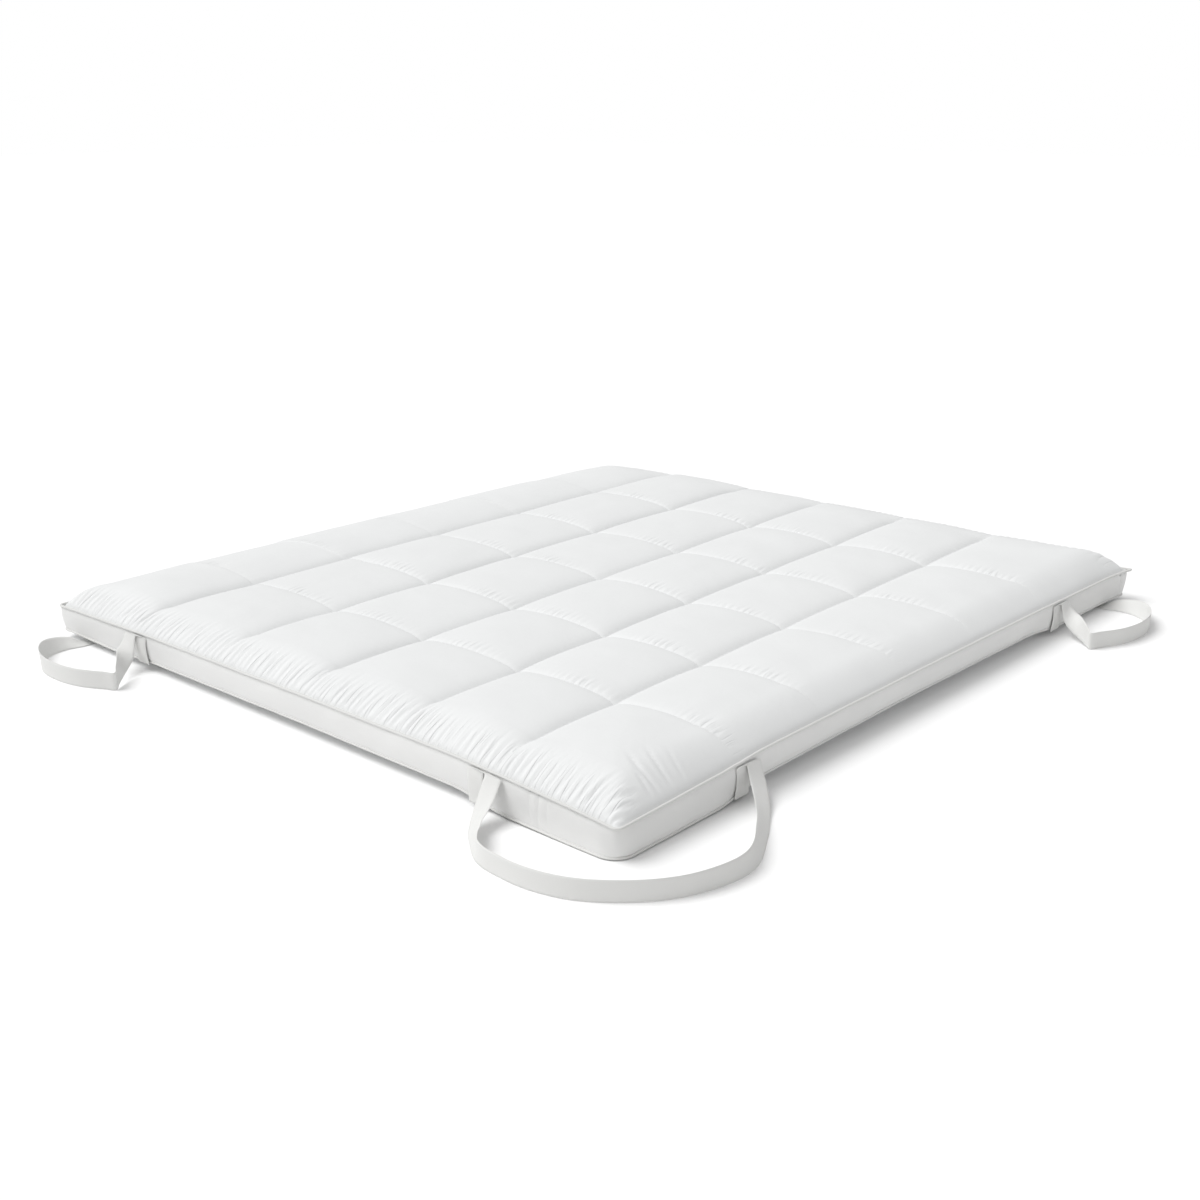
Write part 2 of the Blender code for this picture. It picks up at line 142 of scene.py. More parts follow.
# How far a gather strays by the pitch, how soon it is full, from what share of its length on it
# fades, how far aside it is felt, how deep the back's are by the front's, and how those of an edge
# lean in waves along it
GATHER_JITTER = 0.20
GATHER_ONSET = 0.008
GATHER_FADES_FROM = 0.3
GATHER_REACH = 0.030
BACK_GATHERS = 0.5
LEAN = 0.10
LEAN_WAVES = 9.0

# Where in a cell its cross seam gathers, from one share of its width to another, over what share
# of it, and how deep it gathers elsewhere
CLUSTER_MIDDLE = (0.30, 0.78)
CLUSTER_SPAN = 0.24
CLUSTER_LEAST = 0.10

# The finest gathers: between what distances from the edge they fade, that line's waves by depth
# and span, where inside the sides they are full, the distances beyond a cross seam at which they
# rise and fade, and their strength there
FINE_EDGE = (0.035, 0.095)
FINE_EDGE_WAVES = (0.02, 0.05)
FINE_SIDES = 0.03
FINE_RISE = (-0.002, 0.004)
FINE_FADE = (0.014, 0.055)
FINE_AT_SEAM = 0.8

# How the top's cloth, the cords, the band and the pad's hidden wall lie to the sewn seams, how
# finely they are divided, and a cord's small waves by height and span
TOP_INSET = 0.0042
UNDERSIDE_INSET = 0.085
UNDERSIDE_CORNER = 0.30
TOP_CORNER = 0.012
HEM_CORNER = 0.018
ROUND_HEM_CORNER = 0.045
HEM_CLEARANCE = 0.0043
PAD_BEHIND_BAND = 0.0021
BAND_IN_SEAM = 0.0012
BAND_THICKNESS = 0.0009
BAND_ROWS = 16
WALL_SHARES = (0.04, 0.95)
WALL_ROWS = 3
OUTLINE_SPACING = 0.0032
TABLE_SMOOTHING = 0.022
TABLE_SAMPLES = 5
CORD_SIDES = 10
CORD_WAVES = (0.0004, 0.03)

# How deep the band is pinched in at the top cord and at the hem, and how fast that dies away
TOP_PINCH = 0.0044
HEM_PINCH = 0.0010
PINCH_DECAY = 0.0045

# The band's puckers: how far from a seam they reach by the side's height, how strong they are at
# the hem, the broad ones' strength, and the spans of the fine and the broad ones
PUCKER_REACH = 0.16
HEM_PUCKERS = 0.7
BROAD_PUCKERS = 1.6
PUCKER_SPANS = (0.011, 0.05)
PUCKER_DRIFT = 0.1

# A side of the topper by its places along it: the top seam's rise, the height of the bottom
# seam's cord, how far that cord is tucked in, and how far the band bows out between them
Edge = namedtuple("Edge", "along rise hem tuck bow")
FRONT = (
    Edge(-0.900, -0.008, 0.0210, 0.003, 0.002),
    Edge(-0.660, -0.003, 0.0170, 0.004, 0.003),
    Edge(-0.540, 0.000, 0.0225, 0.007, 0.003),
    Edge(0.000, 0.003, 0.0250, 0.007, 0.003),
    Edge(0.498, 0.002, 0.0225, 0.007, 0.003),
    Edge(0.618, -0.003, 0.0060, 0.003, 0.003),
    Edge(0.795, -0.012, 0.0040, 0.002, 0.002),
    Edge(0.900, -0.020, 0.0045, 0.002, 0.001),
)
RIGHT = (
    Edge(-1.000, -0.020, 0.0045, 0.002, 0.001),
    Edge(-0.700, -0.011, 0.0060, 0.003, 0.003),
    Edge(-0.580, -0.004, 0.0240, 0.010, 0.003),
    Edge(-0.044, -0.003, 0.0290, 0.010, 0.003),
    Edge(0.525, -0.005, 0.0250, 0.009, 0.003),
    Edge(0.645, -0.007, 0.0150, 0.005, 0.003),
    Edge(0.895, -0.010, 0.0140, 0.003, 0.002),
    Edge(1.000, -0.007, 0.0160, 0.002, 0.001),
)
BACK = (
    Edge(-0.900, -0.028, 0.0160, 0.003, 0.002),
    Edge(-0.660, -0.018, 0.0150, 0.004, 0.003),
    Edge(-0.540, -0.013, 0.0190, 0.008, 0.003),
    Edge(0.000, -0.006, 0.0200, 0.008, 0.003),
    Edge(0.498, -0.001, 0.0190, 0.008, 0.003),
    Edge(0.618, -0.003, 0.0150, 0.004, 0.003),
    Edge(0.900, -0.007, 0.0160, 0.002, 0.001),
)
LEFT = (
    Edge(-1.000, -0.008, 0.0210, 0.003, 0.002),
    Edge(-0.700, -0.006, 0.0170, 0.004, 0.003),
    Edge(-0.580, -0.006, 0.0210, 0.009, 0.003),
    Edge(0.000, -0.012, 0.0220, 0.009, 0.003),
    Edge(0.525, -0.019, 0.0200, 0.009, 0.003),
    Edge(0.645, -0.021, 0.0160, 0.004, 0.003),
    Edge(1.000, -0.028, 0.0160, 0.003, 0.002),
)

# A knot of a strap's run over the floor, in metres from the corner along its first and its
# second side, negative outside. The strap stands on edge at lean 0, and lies flat at 90 with
# its upper edge outwards; a negative lean takes that edge inwards.
Knot = namedtuple("Knot", "first second lean")
ROUND_THE_CORNER = (
    Knot(0.268, -0.098, -38),
    Knot(0.194, -0.151, -6),
    Knot(0.121, -0.164, 0),
    Knot(0.051, -0.162, 0),
    Knot(-0.019, -0.141, 0),
    Knot(-0.081, -0.099, 0),
    Knot(-0.132, -0.045, 0),
    Knot(-0.166, 0.018, 0),
    Knot(-0.186, 0.101, -6),
    Knot(-0.177, 0.170, -18),
    Knot(-0.131, 0.257, -30),
)
UNDER_THE_CORNER = (
    Knot(0.420, -0.115, 0),
    Knot(0.342, -0.156, 0),
    Knot(0.270, -0.170, 0),
    Knot(0.200, -0.165, 0),
    Knot(0.146, -0.138, 8),
    Knot(0.110, -0.092, 30),
    Knot(0.100, -0.045, 55),
    Knot(0.108, 0.000, 84),
    Knot(0.090, 0.065, 90),
    Knot(0.035, 0.140, 90),
    Knot(-0.030, 0.205, 88),
    Knot(-0.070, 0.262, 80),
)

# A strap by the node that it stands for: its corner, which way the first and second sides run
# from there, where each end's tab is sewn and where the strap leaves the seam, and its length
Strap = namedtuple("Strap", "node corner first second knots tabs leaves length")
STRAPS = (
    Strap("strap_front_right", (HALF_X, -HALF_Y), (-1, 0), (0, 1), ROUND_THE_CORNER,
          (0.345, 0.352), (0.296, 0.378), 1.25),
    Strap("strap_front_left", (-HALF_X, -HALF_Y), (1, 0), (0, 1), UNDER_THE_CORNER,
          (0.352, 0.345), (0.318, 0.318), 1.19),
    Strap("strap_back_right", (HALF_X, HALF_Y), (0, -1), (-1, 0), UNDER_THE_CORNER,
          (0.372, 0.345), (0.340, 0.318), 1.19),
    Strap("strap_back_left", (-HALF_X, HALF_Y), (1, 0), (0, -1), UNDER_THE_CORNER,
          (0.352, 0.345), (0.318, 0.318), 1.19),
)
STRAP_WIDTH = 0.042
STRAP_THICKNESS = 0.0014
STRAP_STEP = 0.004

# A strap's sewn end stands off the band by the first distance at the top and the second at the
# bottom, at levels that are shares of the side's height, and folds over below the top seam
TAB_STAND_OFF = (0.0020, 0.0052)
TAB_LEVELS = (1.08, 0.90, 0.60, 0.30)
TAB_SAMPLES = 9
FOLD_LEVEL = 0.05
FOLD_BELOW_SEAM = 0.0046
FOLD_RADIUS = 0.0022
FOLD_STEPS = 4

# A strap's fall from its fold: how far out and how far down it sets off, and how square to its
# path it stays. Then its run over the floor
FALL_OUT = 0.35
FALL_DOWN = 0.90
FALL_STEPS = 7
FALL_SQUARE = 0.9
RUN_STEPS = 3
FLOOR_GAP = 0.0005

# Seeds of the random draws, one for each kind of unevenness
SEED_WANDER = 11
SEED_LUMPS = 23
SEED_CELLS = 31
SEED_EDGE_GATHERS = 47
SEED_SEAM_GATHERS = 59
SEED_PUCKERS = 71
SEED_FINE = 83

# A crease that stands out, from its start to its end on the nominal top, with its sideways bend,
# its half width and its depth, and the shares of its length over which creases rise and fade
Crease = namedtuple("Crease", "x0 y0 x1 y1 bend width depth")
CORNER_CREASES = (
    Crease(0.890, -0.870, 0.778, -0.842, 0.012, 0.0042, 0.0026),
    Crease(0.890, -0.892, 0.800, -0.850, 0.010, 0.0040, 0.0020),
    Crease(0.889, -0.836, 0.786, -0.800, 0.010, 0.0042, 0.0024),
    Crease(0.889, -0.800, 0.806, -0.764, 0.008, 0.0040, 0.0015),
    Crease(0.813, -0.990, 0.822, -0.905, 0.004, 0.0050, 0.0032),
    Crease(0.835, -0.992, 0.846, -0.925, 0.003, 0.0045, 0.0024),
    Crease(0.848, -0.993, 0.884, -0.912, 0.010, 0.0048, 0.0030),
    Crease(0.866, -0.995, 0.890, -0.945, 0.006, 0.0042, 0.0028),
    Crease(0.880, -0.996, 0.894, -0.972, 0.003, 0.0036, 0.0024),
)
CREASE_RISE = (-0.05, 0.25)
CREASE_FADE = (0.60, 1.05)

# A corner that is drawn out and stuffed full: how far its seams and its cord's ear reach out, and
# by what share its filling is more than elsewhere, each with the span over which that fades
Corner = namedtuple("Corner", "x y reach span ear ear_span plump plump_span")
HEM_FOLLOWS = 0.8
DRAWN_CORNERS = (
    Corner(HALF_X, HALF_Y, 0.013, 0.060, 0.007, 0.009, 0.42, 0.22),
    Corner(-HALF_X, -HALF_Y, 0.002, 0.040, 0.000, 0.009, 0.30, 0.09),
)

# A fold of the band: its place on the outline, its half width and its depth
Fold = namedtuple("Fold", "x y width depth")
BAND_FOLDS = (
    Fold(0.690, -HALF_Y, 0.0050, 0.0012),
    Fold(0.712, -HALF_Y, 0.0040, 0.0016),
    Fold(0.733, -HALF_Y, 0.0045, 0.0010),
    Fold(HALF_X, 0.966, 0.0040, 0.0022),
    Fold(HALF_X, 0.985, 0.0035, 0.0014),
)

# Quilting stitches: how far from the edges the lines of the long and of the cross seams stop, the
# step in which those are followed, and a stitch's rings by their place along it, their girth and
# their lift by the thread's radius
STITCH_MARGINS = (0.045, 0.024)
STITCH_LINE_STEP = 0.003
STITCH_PLACES = (0.06, 0.50, 0.90)
STITCH_GIRTHS = (0.45, 1.00, 0.45)
STITCH_LIFTS = (0.10, 0.90, 0.10)
STITCH_UV_STEP = 0.002

# Where the key light comes from, its strength and width in degrees, the room's strength, and how
# far the floor reaches
KEY_FROM = (-0.48, -0.42, 1.0)
KEY_STRENGTH = 2.12
KEY_ANGLE = 42
ROOM_STRENGTH = 0.50
FLOOR_REACH = 30.0
FLOOR_LINES = 9

# The camera at the reference view: metres, degrees, and millimetres for the lens and the sensor
CAMERA_PLACE = (2.485, -2.820, 1.263)
CAMERA_TURN = (72.052, 0.0, 41.769)
CAMERA_LENS = 46.90
CAMERA_SENSOR = 36.0


def linear(code):
    """A hex colour code as linear red, green and blue."""
    channels = np.array([int(code[place:place + 2], 16) / 255 for place in (1, 3, 5)])
    low, high = channels / 12.92, ((channels + 0.055) / 1.055) ** 2.4
    return tuple(float(value) for value in np.where(channels <= 0.04045, low, high))


class TopperSizes(bpy.types.PropertyGroup):
    """Sizes of the topper's soft forms."""

    crown: FloatProperty(name="Crown", description="Height of the filling over the piped seam",
                         default=PAD_TOP - SEAM_HEIGHT, min=0.0, unit="LENGTH")
    long_depth: FloatProperty(name="Long channels", default=0.46, min=0.0, max=1.0,
                              description="Share of the crown that a lengthwise seam draws down",
                              subtype="FACTOR")
    cross_depth: FloatProperty(name="Cross channels", default=0.19, min=0.0, max=1.0,
                               description="Share of the crown that a crosswise seam draws down",
                               subtype="FACTOR")
    gather_pitch: FloatProperty(name="Gather pitch", default=0.0185, min=0.004, unit="LENGTH",
                                description="Usual distance from one gather to the next")
    gather_depth: FloatProperty(name="Gather depth", default=0.0023, min=0.0, unit="LENGTH",
                                description="Depth of the gathers along the piped edge")
    pucker_depth: FloatProperty(name="Pucker depth", default=0.0005, min=0.0, unit="LENGTH",
                                description="Depth of the puckers in the side band")
    piping_radius: FloatProperty(name="Piping radius", default=0.0030, min=0.001, unit="LENGTH",
                                 description="Radius of the covered cord in both edges")
    stitch_length: FloatProperty(name="Stitch length", default=0.0040, min=0.001, unit="LENGTH",
                                 description="Distance from one stitch to the next")
    thread_radius: FloatProperty(name="Thread radius", default=0.00032, min=0.0001,
                                 description="Radius of the sewing thread", unit="LENGTH")


class TopperColours(bpy.types.PropertyGroup):
    """Colours of the topper's cloths and of the floor."""

    percale: FloatVectorProperty(name="Top percale", default=linear("#E8E9E9"), size=3,
                                 description="Cotton percale of the quilted top", subtype="COLOR")
    band: FloatVectorProperty(name="Band percale", default=linear("#E9E9E8"), size=3,
                              description="Cotton percale of the side band", subtype="COLOR")
    # The piping's colour is set darker than the cloth's, as painted shade on the cords.
    piping: FloatVectorProperty(name="Piping", default=linear("#DDDDDB"), size=3,
                                description="Cotton cover of the piping cords", subtype="COLOR")
    elastic: FloatVectorProperty(name="Elastic", default=linear("#E8E8E6"), size=3,
                                 description="Woven elastic of the corner straps",
                                 subtype="COLOR")
    thread: FloatVectorProperty(name="Thread", default=linear("#F4F5F4"), size=3,
                                description="Sewing thread", subtype="COLOR")
    floor: FloatVectorProperty(name="Floor", default=linear("#FEFEFE"), size=3,
                               description="Studio floor", subtype="COLOR")


def soft_noise(x, y, span, seed):
    """Value noise from -1 to 1: random heights a span apart, joined by smoothstep curves."""
    rng = np.random.default_rng(seed)
    u, v = (x + 2.0) / span, (y + 2.0) / span
    lattice = rng.uniform(-1, 1, (int(4.0 / span) + 3, int(4.0 / span) + 3))
    column, row = np.floor(u).astype(int), np.floor(v).astype(int)
    su, sv = smoothstep(0, 1, u - column), smoothstep(0, 1, v - row)
    low = lattice[row, column] * (1 - su) + lattice[row, column + 1] * su
    high = lattice[row + 1, column] * (1 - su) + lattice[row + 1, column + 1] * su
    return low * (1 - sv) + high * sv


def unit(vectors):
    """Each vector along the last axis, at length 1."""
    return vectors / np.linalg.norm(vectors, axis=-1, keepdims=True)


def smoothstep(start, end, value):
    """0 before start, 1 after end, and a smooth rise between them."""
    share = np.clip((value - start) / (end - start), 0, 1)
    return share * share * (3 - 2 * share)


def table(rows, along, column):
    """A column of a side table, smoothed by averaging its straight lines over a short span."""
    places = [row.along for row in rows]
    values = [getattr(row, column) for row in rows]
    shifts = np.linspace(-TABLE_SMOOTHING, TABLE_SMOOTHING, TABLE_SAMPLES)
    return np.mean([np.interp(along + shift, places, values) for shift in shifts], axis=0)


def edge_value(x, y, column):
    """A column of the side tables at a place (x, y) on the nominal outline."""
    along_x = np.where(y < 0, table(FRONT, x, column), table(BACK, x, column))
    along_y = np.where(x < 0, table(LEFT, y, column), table(RIGHT, y, column))
    return np.where(np.abs(y) > HALF_Y - TINY, along_x, along_y)


def rounded(x, y, inset, radius):
    """Places (x, y), and the outward directions there, on an outline set in and rounded."""
    centre_x, centre_y = HALF_X - inset - radius, HALF_Y - inset - radius
    out_x = np.clip((np.minimum(np.abs(x), HALF_X - inset) - centre_x) / radius, 0, 1)
    out_y = np.clip((np.minimum(np.abs(y), HALF_Y - inset) - centre_y) / radius, 0, 1)
    reach = np.hypot(out_x, out_y)
    scale = np.maximum(out_x, out_y) / np.maximum(reach, TINY)
    inner_x = np.minimum(np.abs(x), centre_x)
    inner_y = np.minimum(np.abs(y), centre_y)
    place = (np.sign(x) * (inner_x + out_x * scale * radius),
             np.sign(y) * (inner_y + out_y * scale * radius))
    normal = (np.sign(x) * out_x / np.maximum(reach, TINY),
              np.sign(y) * out_y / np.maximum(reach, TINY))
    return place, normal


def seam_rise(x, y):
    """The top seams' unevenness carried into the top, fading over EDGE_BLEND from each side."""
    def near(distance):
        return np.clip(1 - distance / EDGE_BLEND, 0, 1) ** 2

    front, back = near(HALF_Y + y), near(HALF_Y - y)
    left, right = near(HALF_X + x), near(HALF_X - x)
    rise = front * table(FRONT, x, "rise") + back * table(BACK, x, "rise")
    rise += left * table(LEFT, y, "rise") + right * table(RIGHT, y, "rise")
    for across, along, row in ((left, front, FRONT[0]), (right, front, FRONT[-1]),
                               (left, back, BACK[0]), (right, back, BACK[-1])):
        rise -= across * along * row.rise
    return rise


def channel(places, seams, edge_distance, shape):
    """How deep a sewn channel is, 1 on its seam: a wide hollow and a narrow dip at the stitches,
    both fading towards the edge."""
    distance = np.min([np.abs(places - seam) for seam in seams], axis=0)
    start, end = CHANNEL_FADE
    fade = np.clip((edge_distance - start) / (end - start), 0, 1)
    hollow = np.clip(1 - distance / shape.hollow, 0, 1) ** 2
    dip = np.exp(-distance / shape.stitch_reach)
    return ((1 - shape.stitch_share) * hollow + shape.stitch_share * dip) * fade


def cell_fill(x, y):
    """How full each quilted cell is stuffed, a few percent more or less than its neighbours."""
    cells = (len(LONG_SEAMS) + 1, len(CROSS_SEAMS) + 1)
    fills = np.random.default_rng(SEED_CELLS).uniform(*CELL_FILL, cells)
    return fills[np.digitize(x, LONG_SEAMS), np.digitize(y, CROSS_SEAMS)]


def trough(step):
    """A trough's depth at distances by its half width: 1 in the middle, with a raised lip on each
    side."""
    return np.exp(-step**2) - LIP_HEIGHT * np.exp(-((np.abs(step) - LIP_PLACE) / LIP_WIDTH) ** 2)


def gather_set(seed, form, sizes):
    """The places, lengths, half widths and depths of the gathers along a seam, as drawn."""
    rng = np.random.default_rng(seed)
    low, high = -HALF_X + form.margin, HALF_X - form.margin
    pitch = sizes.gather_pitch * form.pitch
    count = int((high - low) / pitch)
    centre = low + (np.arange(count) + 0.5) * (high - low) / count
    centre += rng.uniform(-GATHER_JITTER, GATHER_JITTER, count) * pitch
    length, width, depth = (
        least + more * draw for (least, more), draw
        in zip((form.length, form.width, form.depth), rng.uniform(0.0, 1.0, (3, count))))
    return centre, length, sizes.gather_pitch * width, sizes.gather_depth * depth


def press_gathers(total, rows, x, distance, start, gathers):
    """Presses gathers into the rows' heights: each a trough that leans off its place with the
    distance from its seam, starts at a distance there and dies away over its length."""
    for place, length, width, depth, lean in zip(*gathers):
        near = np.ix_(rows, np.nonzero(np.abs(x[rows[0]] - place) < GATHER_REACH)[0])
        along = distance[near]
        fade = smoothstep(start, start + GATHER_ONSET, along)
        fade = fade * (1 - smoothstep(GATHER_FADES_FROM * length, length, along))
        total[near] -= depth * trough((x[near] - place - lean * along) / width) * fade


def gather_strength(x, y):
    """How strong the cloth's finest gathers are: 1 at the front and back piping, less beyond each
    cross seam where they cluster, and 0 away from them."""
    near, far = FINE_EDGE
    depth, span = FINE_EDGE_WAVES
    far = far + depth * soft_noise(x, 0 * y, span, SEED_FINE)
    total = 1 - smoothstep(near, far, HALF_Y - np.abs(y))
    total = total * smoothstep(0.0, FINE_SIDES, HALF_X - np.abs(x))
    for number, seam in enumerate(CROSS_SEAMS):
        beyond = smoothstep(*FINE_RISE, y - seam) * (1 - smoothstep(*FINE_FADE, y - seam))
        total = np.maximum(total, FINE_AT_SEAM * beyond * cluster(x, number))
    return total


def cluster(x, number):
    """How strongly a cross seam gathers at places along it: most in one part of each cell."""
    bounds = np.array((-HALF_X,) + LONG_SEAMS + (HALF_X,))
    cell = np.digitize(x, LONG_SEAMS)
    share = (x - bounds[cell]) / (bounds[cell + 1] - bounds[cell])
    rng = np.random.default_rng(SEED_CELLS + 1 + number)
    middle = rng.uniform(*CLUSTER_MIDDLE, len(LONG_SEAMS) + 1)[cell]
    return np.exp(-((share - middle) / CLUSTER_SPAN) ** 2)


def edge_gathers(x, y, sizes):
    """Gathers square to the front and the back piping, close together as on an eased seam."""
    total = np.zeros_like(x)
    for number, (side, share) in enumerate(((-1, 1.0), (1, BACK_GATHERS))):
        distance = HALF_Y - side * y
        rows = np.nonzero(distance.min(axis=1) < EDGE_GATHER_ZONE)[0]
        if not len(rows):
            continue
        place, length, width, depth = gather_set(SEED_EDGE_GATHERS + number, EDGE_GATHERS, sizes)
        lean = np.sin(place * LEAN_WAVES) * LEAN
        press_gathers(total, rows, x, distance, EDGE_GATHERS.start,
                      (place, length, width, depth * share, lean))
    return total


def seam_gathers(x, y, sizes):
    """Short gathers on the far side of each crosswise seam, in a cluster somewhere in each cell."""
    total = np.zeros_like(x)
    low, high = SEAM_GATHER_ZONE
    for number, seam in enumerate(CROSS_SEAMS):
        distance = y - seam
        rows = np.nonzero((distance.min(axis=1) > low) & (distance.max(axis=1) < high))[0]
        if not len(rows):
            continue
        place, length, width, depth = gather_set(SEED_SEAM_GATHERS + number, SEAM_GATHERS, sizes)
        depth = depth * (CLUSTER_LEAST + (1 - CLUSTER_LEAST) * cluster(place, number))
        press_gathers(total, rows, x, distance, SEAM_GATHERS.start,
                      (place, length, width, depth, np.zeros_like(place)))
    return total


def creases(x, y):
    """Listed creases: a trough along each bent line, fading at its ends."""
    total = np.zeros_like(x)
    for crease in CORNER_CREASES:
        way = np.array((crease.x1 - crease.x0, crease.y1 - crease.y0))
        length = np.hypot(*way)
        way /= length
        along = ((x - crease.x0) * way[0] + (y - crease.y0) * way[1]) / length
        across = (y - crease.y0) * way[0] - (x - crease.x0) * way[1]
        across = across - crease.bend * 4 * along * (1 - along)
        fade = smoothstep(*CREASE_RISE, along) * (1 - smoothstep(*CREASE_FADE, along))
        total -= crease.depth * trough(across / crease.width) * fade
    return total


def wander(x, y):
    """The quilting's drift over the top, in x and y: small and uneven inside the piped edge, and
    across it also the long seams' slant."""
    inside = np.minimum(HALF_X - np.abs(x), HALF_Y - np.abs(y))
    reach = WANDER * np.clip(inside / WANDER_EDGE, 0, 1)
    slant = np.interp(x, (-HALF_X,) + LONG_SEAMS + (HALF_X,), (0.0,) + SEAM_SLANTS + (0.0,))
    return (reach * soft_noise(x, y, WANDER_SPAN, SEED_WANDER) + slant * (y - SLANT_ABOUT),
            reach * soft_noise(x, y, WANDER_SPAN, SEED_WANDER + 1))


def quilt_height(x, y, sizes):
    """Height of the quilted top: the piped seam's own line, and over it a crown with full
    shoulders that is drawn down along the channels, each cell filled a little differently."""
    edge_x, edge_y = HALF_X - np.abs(x), HALF_Y - np.abs(y)
    left_of_full = 0.0
    for side, distance in (("front", HALF_Y + y), ("right", HALF_X - x),
                           ("back", HALF_Y - y), ("left", HALF_X + x)):
        form = SHOULDERS[side]
        steep = np.clip(1 - distance / form.span, 0, 1) ** form.power
        slow = np.clip(1 - distance / CROWN_SPAN, 0, 1) ** 2
        left_of_full = left_of_full + (form.share * steep
                                       + (1 - form.share) * slow) ** CORNER_POWER
    shoulder = np.clip(1 - left_of_full ** (1 / CORNER_POWER), 0, 1)
    shoulder = shoulder * (1 + drawn_out(x, y, "plump"))
    long_channel = channel(x, LONG_SEAMS, edge_y, LONG_CHANNEL)
    cross_channel = channel(y, CROSS_SEAMS, edge_x, CROSS_CHANNEL)
    cross_channel = cross_channel * np.interp(x, *zip(*CROSS_STRENGTH))
    left_up = (1 - sizes.long_depth * long_channel) * (1 - sizes.cross_depth * cross_channel)
    puff = (1 - long_channel) * (1 - cross_channel)
    lumps = sum(height * soft_noise(x, y, span, SEED_LUMPS + number)
                for number, (height, span) in enumerate(LUMPS))
    fill = sizes.crown * (left_up + puff * (cell_fill(x, y) - 1)) + lumps * puff
    groove = GROOVE[0] * np.exp(-(np.minimum(edge_x, edge_y) / GROOVE[1]) ** 2)
    return SEAM_HEIGHT + seam_rise(x, y) + shoulder * fill - groove


def drawn_out(x, y, column="reach"):
    """How far the seams, or the cord's ears, are drawn out near some corners, or how much more
    the filling there plumps the top."""
    total = np.zeros(np.shape(x))
    for corner in DRAWN_CORNERS:
        distance = np.abs(x - corner.x) + np.abs(y - corner.y)
        span = {"reach": corner.span, "ear": corner.ear_span, "plump": corner.plump_span}[column]
        total = total + getattr(corner, column) * np.exp(-(distance / span) ** 2)
    return total


def seam_place(x, y):
    """The top seam's line at nominal outline places, drawn out at some corners."""
    (px, py), _ = rounded(x, y, 0.0, TOP_CORNER)
    height = SEAM_HEIGHT + edge_value(x, y, "rise")
    out = drawn_out(x, y)
    return np.stack([px + np.sign(x) * out, py + np.sign(y) * out, height + 0 * px], axis=-1)


def hem_corner(x, y):
    """The hem's corner radius nearest to a place: the front right corner is the round one."""
    return np.where((x > 0) & (y < 0), ROUND_HEM_CORNER, HEM_CORNER)


def hem_place(x, y):
    """The bottom seam's line at nominal outline places, tucked in under the top one."""
    (px, py), _ = rounded(x, y, edge_value(x, y, "tuck"), hem_corner(x, y))
    out = HEM_FOLLOWS * drawn_out(x, y)
    return np.stack([px + np.sign(x) * out, py + np.sign(y) * out,
                     edge_value(x, y, "hem") + 0 * px], axis=-1)


def side_directions(x, y):
    """The level direction out of the side, and the direction square to the side and inwards."""
    _, (out_x, out_y) = rounded(x, y, edge_value(x, y, "tuck"), hem_corner(x, y))
    out = np.stack([out_x, out_y, 0 * out_x], axis=-1)
    slope = unit(hem_place(x, y) - seam_place(x, y))
    drawn_in = -np.sum(slope * out, axis=-1, keepdims=True)
    return out, slope[..., 2:] * out + drawn_in * np.array([0.0, 0.0, 1.0])


def side_place(x, y, share, inside=0.0):
    """The side at a share of its height down from the top seam, bowed out, or a line behind it."""
    top, hem = seam_place(x, y), hem_place(x, y)
    out, inwards = side_directions(x, y)
    share = np.asarray(share)[..., None]
    bow = edge_value(x, y, "bow")[..., None] * 4 * share * (1 - share)
    return top + (hem - top) * share + out * bow + inwards * np.asarray(inside)[..., None]


def graded(start, end, spacing):
    """Grid places from start to end, close together at both ends and further apart between."""
    finest, widest, growth = spacing
    fine = np.linspace(start, end, 4001)
    from_end = np.minimum(fine - start, end - fine)
    density = 1 / np.minimum(widest, finest + growth * from_end)
    count = np.concatenate([[0], np.cumsum((density[1:] + density[:-1]) / 2 * np.diff(fine))])
    return np.interp(np.linspace(0, count[-1], int(np.ceil(count[-1])) + 1), count, fine)


def grid_lines(half, seams, spacing):
    """Grid places from edge to edge, with one on each seam."""
    bounds = (-half,) + tuple(seams) + (half,)
    pieces = [graded(low, high, spacing)[:-1] for low, high in zip(bounds[:-1], bounds[1:])]
    return np.concatenate(pieces + [[half]])


def split_lines(lines, widest):
    """The lines with every gap split evenly to at most widest, and the gap that each is from."""
    gaps = np.diff(lines)
    parts = np.ceil(gaps / widest - TINY).astype(int)
    owner = np.repeat(np.arange(len(gaps)), parts)
    first = np.concatenate([[0], np.cumsum(parts)])
    inner = np.arange(len(owner)) - first[owner]
    fine = lines[owner] + inner * (gaps / parts)[owner]
    return np.append(fine, lines[-1]), owner, inner, parts, first


def quads(first, second):
    """Faces between two rows of vertex numbers of the same length."""
    return np.stack([first[:-1], first[1:], second[1:], second[:-1]], axis=1)


def fans(coarse, fine, owner, inner, parts, first):
    """Triangles between a coarse and a fine row: each coarse gap's halves fan out from its ends,
    and one triangle fills the middle."""
    half = (parts + 1) // 2
    apex = coarse[owner + (inner >= half[owner])]
    sides = np.stack([apex, fine[:-1], fine[1:]], axis=1)
    middle = np.stack([coarse[:-1], coarse[1:], fine[first[:-1] + half]], axis=1)
    return np.concatenate([sides, middle])


